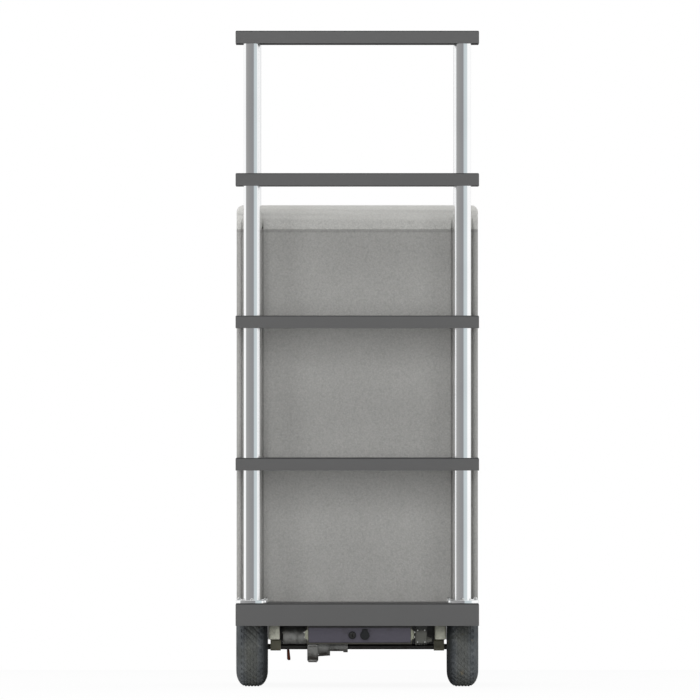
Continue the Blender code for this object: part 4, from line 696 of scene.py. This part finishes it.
def ring_of(centre, radius, degrees, x):
    """Spots round a centre in a plane across the axle."""
    turns = [math.radians(angle) for angle in degrees]
    return [Vector((x, centre.y + radius * math.cos(turn), centre.z + radius * math.sin(turn)))
            for turn in turns]


def add_hex_bolt(work, place, axis, radius, height):
    """A washer and a chamfered hexagon head."""
    matrix = placed(place, axis)
    washer = radius * 1.45
    lip = height * 0.25
    add_turned(work, [(0, 0), (washer, 0), (washer, lip * 0.7), (washer * 0.96, lip), (0, lip)], matrix, 24)
    head = [(0, lip), (radius, lip), (radius, height * 0.88), (radius * 0.88, height), (0, height)]
    add_turned(work, head, matrix, 6)


def add_dome_screw(work, place, axis, radius, height):
    """A domed head with a hexagon recess."""
    matrix = placed(place, axis)
    dome = arc((0, 0), (radius, height), 0, 62, 8)
    add_turned(work, [(0, 0), (radius, 0)] + dome[1:], matrix, 24)
    top_radius, top = dome[-1]
    recess = radius * 0.42
    add_turned(work, [(top_radius, top), (recess, top), (recess, height * 0.35), (0, height * 0.35)],
               matrix, 24)


# The form, head radius and head height of each kind of fastener
FASTENERS = {
    "flange screw": (add_dome_screw, 0.0056, 0.0058),
    "foot bolt": (add_hex_bolt, 0.0036, 0.0032),
    "lug nut": (add_hex_bolt, 0.0046, 0.0055),
    "case bolt": (add_hex_bolt, 0.0024, 0.0030),
    "cover screw": (add_dome_screw, 0.0028, 0.0026),
    "oil plug": (add_hex_bolt, 0.0065, 0.0052),
    "brake screw": (add_dome_screw, 0.0024, 0.0020),
    "controller screw": (add_dome_screw, 0.0022, 0.0016),
    "strap bolt": (add_hex_bolt, 0.0030, 0.0026),
    "caster bolt": (add_hex_bolt, 0.0046, 0.0042),
    "caster nut": (add_hex_bolt, 0.0075, 0.0050),
    "rivet": (add_dome_screw, 0.0042, 0.0022),
    "head screw": (add_dome_screw, 0.0026, 0.0014),
}


def bolt_set(name, spots, axis, kind, body):
    form, radius, height = FASTENERS[kind]
    work = bmesh.new()
    for spot in spots:
        form(work, spot, axis, radius, height)
    add_piece(name, work, BOLT_STEEL, body, "zinc", 30)


def fasten(name, node_name, starts, axis, kind):
    """Fasteners where lines from the starts, drawn against the axis, first meet a CAD node."""
    spots = [surface(node_name, start, -Vector(axis))[0] for start in starts]
    bolt_set(name, spots, axis, kind, BODY_OF[node_name])


# Drive tyres with a diagonal tread

TREAD_BLOCKS = 34
TREAD_SLANT = 50.0
TREAD_HALF_BAND = 0.0215
SHOULDER_SLOT_START = 0.0235
SHOULDER_SLOT_END = 0.0300
TREAD_DEPTH = 0.0026
TREAD_RIB_PITCH = 0.0086
SHOULDER_LUG_DEPTH = 0.0036
STEPS_PER_BLOCK = 16
SHOULDER = (0.028, 0.042)
BEAD_GAP = 0.0003
BEAD_HALF_WIDTH = 0.036
SIDE_RINGS_BELOW_TREAD = (0.0190, 0.0300, 0.0330)
SIDE_RING_WIDTH = 0.0008
SIDE_RING_DEPTH = 0.0009


def groove(phase, width):
    """1 in the middle of a groove and 0 between grooves; the phase counts grooves."""
    away = abs(phase - round(phase))
    return 1.0 - min(1.0, max(0.0, (away / width - 0.6) / 0.8))


def tyre_profile(radius, half_width, bead_radius, bead_half):
    """Points (radius, place along the axle) from the right bead over the crown to the left."""
    crown = half_width - SHOULDER[0]
    flank_foot = radius - SHOULDER[1]

    def flank(up):
        return crown + SHOULDER[0] * math.sqrt(1.0 - ((up - flank_foot) / SHOULDER[1]) ** 2)

    right = [(bead_radius, bead_half), (bead_radius + 0.003, bead_half + 0.002),
             (bead_radius + 0.006, bead_half + 0.0024), (bead_radius + 0.008, half_width - 0.003),
             (bead_radius + 0.0105, half_width - 0.001)]
    rings = [radius - below for below in SIDE_RINGS_BELOW_TREAD]
    bow = [(up, along) for along, up in arc((crown, flank_foot), SHOULDER, 0, 90, 22)
           if min(abs(up - ring) for ring in rings) > 1.2 * SIDE_RING_WIDTH]
    for ring in rings:
        for shift, depth in ((-1.0, 0.0), (-0.5, 1.0), (0.5, 1.0), (1.0, 0.0)):
            up = ring + shift * SIDE_RING_WIDTH
            bow.append((up, flank(up) - depth * SIDE_RING_DEPTH))
    right += sorted(bow)
    right += [(radius, crown * (1 - step / 15)) for step in range(1, 15)]
    return right + [(radius, 0.0)] + mirrored(right)[len(right):]


def make_drive_tyre(name):
    centre, radius, half = across_axle(name)
    bead = across_axle(name.replace("tyre", "rim"))[1] + BEAD_GAP

    def tread(angle, ring, along):
        count = TREAD_BLOCKS * angle / math.tau
        if ring < radius - SHOULDER[1]:
            return 0.0
        if abs(along) < TREAD_HALF_BAND:
            slanted = groove(count - along * TREAD_SLANT, 0.19)
            around = groove(along / TREAD_RIB_PITCH + 0.5, 0.12)
            return TREAD_DEPTH * max(slanted, 0.8 * around)
        if SHOULDER_SLOT_START < abs(along) < SHOULDER_SLOT_END:
            return SHOULDER_LUG_DEPTH * groove(count + 0.5, 0.26)
        return 0.0

    profile = tyre_profile(radius, half, bead, BEAD_HALF_WIDTH)
    work = turned(profile, placed(centre, (1, 0, 0)), TREAD_BLOCKS * STEPS_PER_BLOCK, tread, closed=True)
    add_skin(name, "_treaded", work, sharp_angle=50)


# Posts, flanges, grips and caster wheels, turned finer than the CAD forms

FINE_STEPS = 96
FLANGE_BORE = 0.0234
FLANGE_LIP = 0.0015
CASTER_TREAD = 0.0201
CASTER_SHOULDER = 0.010
CASTER_BORE = 0.0064
CASTER_BOSS = 0.016
CASTER_WEB = 0.006
CASTER_RIM_WALL = 0.006
CASTER_RIM_INSET = 0.008
GRIP_WALL = 0.0037
GRIP_COLLAR = 0.008
GRIP_RIBS = 16
GRIP_RIB_DEPTH = 0.0009
GRIP_STEPS_PER_RIB = 8


def make_post(name):
    low, high, middle = span(name)
    radius = (high.x - low.x) / 2
    rim = 0.0008
    profile = [(0, low.z), (radius - rim, low.z), (radius, low.z + rim), (radius, high.z - rim),
               (radius - rim, high.z), (0, high.z)]
    add_skin(name, "_tube", turned(profile, placed((middle.x, middle.y, 0)), 72), sharp_angle=30)


def make_flange(name):
    low, high, middle = span(name)
    radius = (high.x - low.x) / 2
    half = (high.z - low.z) / 2
    edge = arc((radius - FLANGE_LIP, half - FLANGE_LIP), FLANGE_LIP, 0, 90, 4)
    profile = [(FLANGE_BORE, -half), (radius, -half)] + edge + [(FLANGE_BORE, half)]
    add_skin(name, "_skin", turned(profile, placed(middle), FINE_STEPS, closed=True))


def make_grip(name):
    """A soft sleeve with ribs for the fingers and a plain collar at each end."""
    middle, outer, half = across_axle(name)
    inner = outer - GRIP_WALL
    ribbed = half - GRIP_COLLAR
    count = GRIP_RIBS * GRIP_STEPS_PER_RIB
    profile = [(inner, -half), (outer - 0.001, -half), (outer, 0.001 - half)]
    for step in range(count + 1):
        dip = GRIP_RIB_DEPTH * (0.5 - 0.5 * math.cos(math.tau * step / GRIP_STEPS_PER_RIB))
        profile.append((outer - dip, -ribbed + 2 * ribbed * step / count))
    profile += [(outer, half - 0.001), (outer - 0.001, half), (inner, half)]
    work = turned(profile, placed(middle, (1, 0, 0)), closed=True)
    add_skin(name, "_ribbed", work, sharp_angle=50)


def make_caster_tyre(name):
    middle, radius, half = across_axle(name)
    side = [(radius - CASTER_TREAD, half - CASTER_SHOULDER / 2)]
    side += arc((radius - CASTER_SHOULDER, half - CASTER_SHOULDER), CASTER_SHOULDER, 90, 0, 9)
    work = turned(mirrored(side), placed(middle, (1, 0, 0)), FINE_STEPS, closed=True)
    add_skin(name, "_skin", work)


def make_caster_hub(name):
    """A flat web between a raised boss and a rim."""
    middle, radius, half = across_axle(name)
    inside = radius - CASTER_RIM_WALL
    rim = half - CASTER_RIM_INSET
    side = [(CASTER_BORE, -half), (CASTER_BOSS, -half), (CASTER_BOSS, -CASTER_WEB),
            (inside, -CASTER_WEB), (inside, -rim), (radius, -rim)]
    work = turned(mirrored(side), placed(middle, (1, 0, 0)), FINE_STEPS, closed=True)
    add_skin(name, "_skin", work)


for corner in CORNERS:
    make_post(corner + "_post")
    make_flange(corner + "_post_flange")
for _, hand in HANDS:
    make_drive_tyre(hand + "_drive_tyre")
    make_grip(hand + "_grip")
    make_caster_tyre(hand + "_caster_tyre")
    make_caster_hub(hand + "_caster_hub")


# All other CAD forms shaded smooth, apart from two with flat faces only

PAINTS = {
    **dict.fromkeys(("deck", "lower_shelf", "middle_shelf", "upper_shelf", "top_shelf"), FOLD_SHADED_COAT),
    "bin_lid": PALE_LIT_LID_PLASTIC, "battery_strap": STRAP_PAINT, "motor_controller": CONTROLLER_PAINT,
    "brake_release_lever": LEVER_PAINT, "left_drive_rim": RIM_PAINT, "right_drive_rim": RIM_PAINT,
    "left_bearing_block": BEARING_ZINC, "right_bearing_block": BEARING_ZINC,
}
for node_name, thing in NODES.items():
    if node_name in ("display", "direction_rocker"):
        finish(thing, FINISHES[SLOT_OF[node_name]])
    elif not thing.hide_render:
        smooth_skin(node_name, PAINTS.get(node_name))


# Fasteners and small fittings

FLANGE_SCREW_INSET = 0.0075
FOOT_BOLT_CIRCLE = 0.0265
LUG_NUT_CIRCLE = 0.0335
VALVE_CIRCLE = 0.0415
VALVE_ANGLE = 112
HUB_CAP = ([(0, -0.004), (0.0165, -0.004), (0.0165, 0.0012)]
           + arc((0, 0.0012), (0.0155, 0.0042), 0, 90, 8)[:-1] + [(0, 0.0054)])
VALVE = [(0, -0.001), (0.0042, -0.001), (0.0042, 0.003), (0.0026, 0.005), (0.0026, 0.013),
         (0.0033, 0.0134), (0.0033, 0.0185), (0.0022, 0.0195), (0, 0.0195)]
SHADE_PLATE_SHEET = 0.0009
SHADE_PLATE_CORNER = 0.006
MOTOR_RADIUS = 0.038
CASTER_BOLT_INSET = 0.009
LID_CORNER = 0.020
LID_CORNER_FACETS = 4
LID_WALL = 0.0045
LID_SIDE_ROLL = 0.018
LID_REAR_ROLL = 0.010
LID_REAR = 0.320
LID_RIM = 1.2443
PRINT_HEIGHT = 0.00015


def make_flange_screws(corner):
    low, high, middle = span(corner + "_post_flange")
    reach = (high.x - low.x) / 2 - FLANGE_SCREW_INSET
    spots = [(middle.x + reach * across, middle.y + reach * along, high.z)
             for across, along in ((1, 0), (0, 1), (-1, 0), (0, -1))]
    bolt_set(corner + "_flange_bolts", spots, (0, 0, 1), "flange screw", "cart")


def make_foot_bolts(hand):
    middle = span(hand + "_handle_foot")[2]
    starts = [(x, y, 0.4) for x, y in arc(middle, FOOT_BOLT_CIRCLE, 30, 270, 2)]
    fasten(hand + "_foot_bolts", hand + "_handle_foot", starts, (0, 0, 1), "foot bolt")


def make_wheel_fittings(side, hand):
    """Lug nuts, a hub cap and a tyre valve on the outer face of a drive rim."""
    rim = hand + "_drive_rim"
    low, high, centre = span(rim)
    out = Vector((side, 0, 0))
    away = centre.x + side * 0.2
    fasten(hand + "_lug_nuts", rim, ring_of(centre, LUG_NUT_CIRCLE, (0, 90, 180, 270), away), out,
           "lug nut")
    end = Vector((high.x if side > 0 else low.x, centre.y, centre.z))
    foot = surface(rim, ring_of(centre, VALVE_CIRCLE, [VALVE_ANGLE], away)[0], -out)[0]
    for ending, profile, place, steps in (("_hub_cap", HUB_CAP, end, 40), ("_valve", VALVE, foot, 24)):
        add_piece(hand + ending, turned(profile, placed(place, out), steps), None, BODY_OF[rim],
                  "black_plastic")


def make_shade_plate(side, hand):
    """A thin black plastic sheet on the outside of a hanger, a dark sheet that stands in for the shade
    between the hanger and the tyre.
    """
    low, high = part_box(hand + "_shaft_hanger")
    front, rear = low.y + SHADE_PLATE_CORNER, high.y - SHADE_PLATE_CORNER
    foot, top = low.z + SHADE_PLATE_CORNER, high.z - SHADE_PLATE_CORNER
    outline = []
    for centre, turn in (((rear, top), 0), ((front, top), 90), ((front, foot), 180), ((rear, foot), 270)):
        outline += arc(centre, SHADE_PLATE_CORNER, turn, turn + 90, 5)
    facing = Matrix(((0, 0, side), (1, 0, 0), (0, 1, 0))).to_4x4()
    work = bmesh.new()
    add_raised(work, outline, SHADE_PLATE_SHEET,
               Matrix.Translation((high.x if side > 0 else low.x, 0, 0)) @ facing)
    add_piece(hand + "_splash_plate", work, None, "cart", "black_plastic")


def make_gear_case_bolts():
    axle = span("left_wheel_shaft")[2]
    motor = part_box("drive_motor")[1] - Vector((0, MOTOR_RADIUS, MOTOR_RADIUS))
    lean = math.degrees(math.atan2(motor.z - axle.z, motor.y - axle.y))
    for name, away in (("case_ear_bolts", -1), ("case_ear_nuts", 1)):
        ears = ring_of(axle, 0.041, (lean + 135, lean + 215), away * 0.3)
        ears += ring_of(motor, 0.042, (lean - 50, lean + 50), away * 0.3)
        fasten(name, "gear_case", ears, (away, 0, 0), "case bolt")
    cover = ring_of(axle, 0.0318, (40, 130, 220, 310), 0.3)
    fasten("case_cover_screws", "gear_case", cover, (1, 0, 0), "cover screw")
    fasten("case_oil_plug", "gear_case", [(0.3, motor.y, motor.z)], (1, 0, 0), "oil plug")
    brake = ring_of(motor, 0.026, (0, 120, 240), -0.6)
    fasten("brake_cover_screws", "drive_motor", brake, (-1, 0, 0), "brake screw")


def make_box_screws():
    low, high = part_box("motor_controller")
    starts = [(low.x + across, low.y - 0.1, low.z + up)
              for across in (0.0055, 0.0245) for up in (0.008, 0.040)]
    fasten("controller_screws", "motor_controller", starts, (0, -1, 0), "controller screw")
    low, high, middle = span("battery_strap")
    for (side, hand), edge in zip(HANDS, (low.x, high.x)):
        starts = [(edge + side * 0.05, middle.y, height) for height in (0.1375, 0.1500)]
        fasten(hand + "_strap_bolts", "battery_strap", starts, (side, 0, 0), "strap bolt")


def make_lever_sleeve():
    """A dipped sleeve that thickens towards the end of the brake release lever."""
    low, high, middle = span("brake_release_lever")
    eye = 0.0042
    pivot = Vector((low.x + eye, middle.y, high.z - eye))
    tip = Vector((high.x - 0.0044, middle.y, low.z + 0.0031))
    down = (tip - pivot).normalized()
    start = pivot + down * 0.0056
    reach = (tip - start).length
    sleeve = [(0, 0), (0.0033, 0), (0.0036, 0.0006), (0.0042, reach * 0.5), (0.0047, reach - 0.002)]
    sleeve += arc((0, reach - 0.002), (0.0047, 0.0046), 0, 90, 8)[1:-1] + [(0, reach + 0.0026)]
    add_piece("lever_sleeve", turned(sleeve, placed(start, down), 28), LEVER_PAINT,
              BODY_OF["brake_release_lever"], "red_plastic")


def make_caster_bolts(hand):
    plate = hand + "_caster_plate"
    low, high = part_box(plate)
    starts = [(x, y, 0.05) for x in (low.x + CASTER_BOLT_INSET, high.x - CASTER_BOLT_INSET)
              for y in (low.y + CASTER_BOLT_INSET, high.y - CASTER_BOLT_INSET)]
    fasten(hand + "_caster_plate_bolts", plate, starts, (0, 0, -1), "caster bolt")
    fork = hand + "_caster_fork"
    low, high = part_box(fork)
    hub = span(hand + "_caster_tyre")[2]
    for name, away, edge in (("inner", 1, high.x), ("outer", -1, low.x)):
        spot = (edge - away * 0.0002, hub.y, hub.z)
        bolt_set(f"{hand}_caster_nut_{name}", [spot], (away, 0, 0), "caster nut", BODY_OF[fork])


def make_lid_corner(side, hand):
    """A rounded piece over a rear corner of the lid, inside and out, from its rim to its crown."""
    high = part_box("bin_lid")[1]
    middle = Vector((high.x - LID_CORNER, LID_REAR - LID_CORNER))

    def crown(spot, depth):
        """The height of the lid's rolled top at a place in plan, or of a layer that deep in it."""
        across = max(0.0, spot.x - high.x + LID_SIDE_ROLL)
        back = max(0.0, spot.y - LID_REAR + LID_REAR_ROLL)
        side_rise = math.sqrt(max(0.0, (LID_SIDE_ROLL - depth) ** 2 - across ** 2))
        rear_rise = math.sqrt(max(0.0, (LID_REAR_ROLL - depth) ** 2 - back ** 2))
        return high.z + min(side_rise - LID_SIDE_ROLL, rear_rise - LID_REAR_ROLL)

    work = bmesh.new()
    rows = []
    for index in range(LID_CORNER_FACETS + 1):
        turn = math.radians(90 * index / LID_CORNER_FACETS)
        spoke = Vector((math.cos(turn), math.sin(turn)))
        outer = middle + spoke * LID_CORNER
        inner = middle + spoke * (LID_CORNER - LID_WALL + SUNK)
        proud = outer + spoke * SUNK
        row = []
        for spot, top in ((proud, crown(outer, 0.0)), (inner, crown(inner, LID_WALL / 2))):
            for level in (LID_RIM + SUNK, top):
                row.append(work.verts.new((side * spot.x, spot.y, level)))
        rows.append(row)
    for here, after in zip(rows, rows[1:]):
        for first, second in ((0, 1), (1, 3), (3, 2), (2, 0)):
            work.faces.new([here[first], here[second], after[second], after[first]])
    for row in (rows[0], rows[-1]):
        work.faces.new([row[0], row[1], row[3], row[2]])
    add_piece(hand + "_lid_corner", work, PALE_LIT_LID_PLASTIC, BODY_OF["bin_lid"], "bin_plastic")


def make_hinge_rivets():
    low, high, axis = span("lid_hinge_pin")
    for (side, hand), edge in zip(HANDS, (low.x, high.x)):
        bolt_set(hand + "_hinge_rivet", [(edge, axis.y, axis.z)], (side, 0, 0), "rivet",
                 BODY_OF["lid_hinge_pin"])


def on_top(node_name, x, y):
    """A matrix on the upper face of a CAD node."""
    spot, normal = surface(node_name, (x, y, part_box(node_name)[1].z + 0.05), (0, 0, -1))
    return lying(spot, normal)


def make_screen_bars():
    """Bars that rise to the user's right, and a ring beside them."""
    middle = span("display")[2]
    work = bmesh.new()
    foot = 0.0042
    for index in range(5):
        tip = foot - 0.0030 - 0.0013 * index
        bar = [(-0.0012, tip), (0.0012, tip), (0.0012, foot), (-0.0012, foot)]
        add_raised(work, bar, PRINT_HEIGHT, on_top("display", middle.x + 0.0035 * (1 - index), middle.y))
    ring = [(0.0042, -SUNK), (0.0042, PRINT_HEIGHT), (0.0031, PRINT_HEIGHT), (0.0031, -SUNK)]
    add_turned(work, ring, on_top("display", middle.x + 0.0112, middle.y), 32, closed=True)
    add_piece("screen_bars", work, LIT_SEGMENT, "cart", "display_glass", 30)


def make_rocker_arrows():
    middle = span("direction_rocker")[2]
    work = bmesh.new()
    for way in (-1, 1):
        tip = 0.0026 * way
        arrow = [(-0.0026, -tip), (0.0026, -tip), (0, tip)][::way]
        add_raised(work, arrow, PRINT_HEIGHT, on_top("direction_rocker", middle.x, middle.y + way * 0.0055))
    add_piece("rocker_arrows", work, MARKING, BODY_OF["direction_rocker"], "black_plastic", 30)


def make_stop_collar():
    """A thin yellow disc under the stop button, its height taken from beside the button."""
    middle = span("stop_button")[2]
    beside = 0.0128
    seat = Matrix.Translation((-beside, 0, 0)) @ on_top("control_head", middle.x + beside, middle.y)
    collar = [(0.0082, -SUNK), (0.0150, -SUNK), (0.0150, 0.0001), (0.0149, 0.0002), (0.0082, 0.0002)]
    add_piece("stop_collar", turned(collar, seat, closed=True), SIGNAL_YELLOW, "cart",
              "black_plastic", 30)


def make_head_screws():
    low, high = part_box("control_head")
    starts = [(x, y, low.z - 0.05) for x in (low.x + 0.009, high.x - 0.009)
              for y in (low.y + 0.012, high.y - 0.014)]
    fasten("head_screws", "control_head", starts, (0, 0, -1), "head screw")


for corner in CORNERS:
    make_flange_screws(corner)
for side, hand in HANDS:
    make_foot_bolts(hand)
    make_wheel_fittings(side, hand)
    # A dark sheet in the place of the shade beside each drive tyre
    make_shade_plate(side, hand)
    make_caster_bolts(hand)
    make_lid_corner(side, hand)
make_gear_case_bolts()
make_box_screws()
make_lever_sleeve()
make_hinge_rivets()
make_screen_bars()
make_rocker_arrows()
make_stop_collar()
make_head_screws()


# Camera, light and floor

def make_camera():
    data = bpy.data.cameras.new("camera")
    data.lens = VIEW_LENS
    data.sensor_width = VIEW_SENSOR
    distance = VIEW_WIDTH * VIEW_LENS / VIEW_SENSOR
    data.clip_start = 1.0
    data.clip_end = distance + 100
    camera = add_object("camera", data)
    camera.location = (VIEW_X, cad_low.y - distance, VIEW_Z)
    camera.rotation_euler = (math.radians(90), 0, 0)
    bpy.context.scene.camera = camera


def make_lamp(name, place, aim, size, power):
    data = bpy.data.lights.new(name, "AREA")
    data.shape = "RECTANGLE"
    data.size, data.size_y = size
    data.energy = power
    lamp = add_object(name, data)
    lamp.location = place
    lamp.rotation_euler = (Vector(aim) - Vector(place)).to_track_quat("-Z", "Y").to_euler()
    lamp.visible_glossy = False


def make_world():
    """Soft even light; the camera and reflections see plain white."""
    world = bpy.data.worlds.new("studio")
    bpy.context.scene.world = world
    world.use_nodes = True
    tree = world.node_tree
    tree.nodes.clear()
    path = node(tree, "LightPath").outputs
    seen = calc(tree, "ADD", path["Is Camera Ray"], path["Is Glossy Ray"], clamp=True)
    seen = calc(tree, "ADD", seen, path["Is Transmission Ray"], clamp=True)
    soft = node(tree, "Background", {"Color": (1, 1, 1, 1), "Strength": 0.45})
    white = node(tree, "Background", {"Color": (1, 1, 1, 1), "Strength": 1.0})
    both = node(tree, "MixShader", {0: seen, 1: soft.outputs[0], 2: white.outputs[0]})
    output = node(tree, "OutputWorld")
    feed(tree, output.inputs["Surface"], both.outputs[0])


def make_floor():
    """A pale floor; the camera sees it nearly white, with the cart's light shadow."""
    work = bmesh.new()
    bmesh.ops.create_grid(work, x_segments=1, y_segments=1, size=3)
    floor = add_object("floor", mesh_of("floor", work))
    material, tree, shader = new_material("pale floor", roughness=0.9)
    shader["Base Color"].default_value = (0.86, 0.86, 0.86, 1)
    path = node(tree, "LightPath").outputs
    glow = node(tree, "Emission", {"Color": (1, 1, 1, 1), "Strength": 1.0})
    share = times(tree, path["Is Camera Ray"], 0.93)
    both = node(tree, "MixShader", {0: share, 1: tree.nodes["Principled BSDF"].outputs[0],
                                    2: glow.outputs[0]})
    feed(tree, tree.nodes["Material Output"].inputs["Surface"], both.outputs[0])
    finish(floor, material)


def make_reflection_wall():
    """A ring of grey and pale studio flats that only reflections see."""
    work = turned([(5.0, -1.0), (5.0, 7.0)], Matrix.Identity(4), FINE_STEPS)
    wall = add_object("reflection_wall", mesh_of("reflection_wall", work))
    material = bpy.data.materials.new("studio flats")
    material.use_nodes = True
    tree = material.node_tree
    tree.nodes.clear()
    place = part_place(tree)
    across = axis_of(tree, place, "X")
    away = times(tree, axis_of(tree, place, "Y"), -1.0)
    turn = calc(tree, "ARCTAN2", across, away)
    share = calc(tree, "ADD", calc(tree, "DIVIDE", turn, math.tau), 0.5)
    ramp = node(tree, "ValToRGB", {"Fac": share})
    bands = [(-180, (0.26, 0.26, 0.27)), (-166, (0.24, 0.24, 0.25)), (-160, (1, 1, 1)),
             (-92, (1, 1, 1)), (-84, (0.36, 0.36, 0.36)), (-40, (0.30, 0.30, 0.30)),
             (14, (0.27, 0.27, 0.28)), (20, (0.54, 0.60, 0.62)), (62, (0.62, 0.68, 0.70)),
             (70, (1, 1, 1)), (156, (1, 1, 1)), (162, (0.40, 0.43, 0.45)), (180, (0.30, 0.30, 0.31))]
    stops = ramp.color_ramp.elements
    for index, (degrees, colour) in enumerate(bands):
        spot = degrees / 360 + 0.5
        stop = stops[index] if index < 2 else stops.new(spot)
        stop.position = spot
        stop.color = (*colour, 1)
    glow = node(tree, "Emission", {"Color": ramp.outputs["Color"], "Strength": 1.0})
    output = node(tree, "OutputMaterial")
    feed(tree, output.inputs["Surface"], glow.outputs[0])
    finish(wall, material)
    for ray in ("camera", "diffuse", "shadow", "transmission", "volume_scatter"):
        setattr(wall, "visible_" + ray, False)


make_camera()
make_world()
make_lamp("overhead softbox", (0.0, 0.6, 4.6), (0, 0, 1.0), (2.5, 2.5), 66)
make_lamp("high front softbox", (-0.8, -3.6, 3.9), (0, 0, 0.9), (2.2, 2.2), 60)
make_lamp("front softbox", (-0.4, -8.0, 1.6), (0, 0, 0.9), (5.0, 3.0), 270)
make_floor()
make_reflection_wall()

bpy.context.scene.view_settings.view_transform = "Standard"
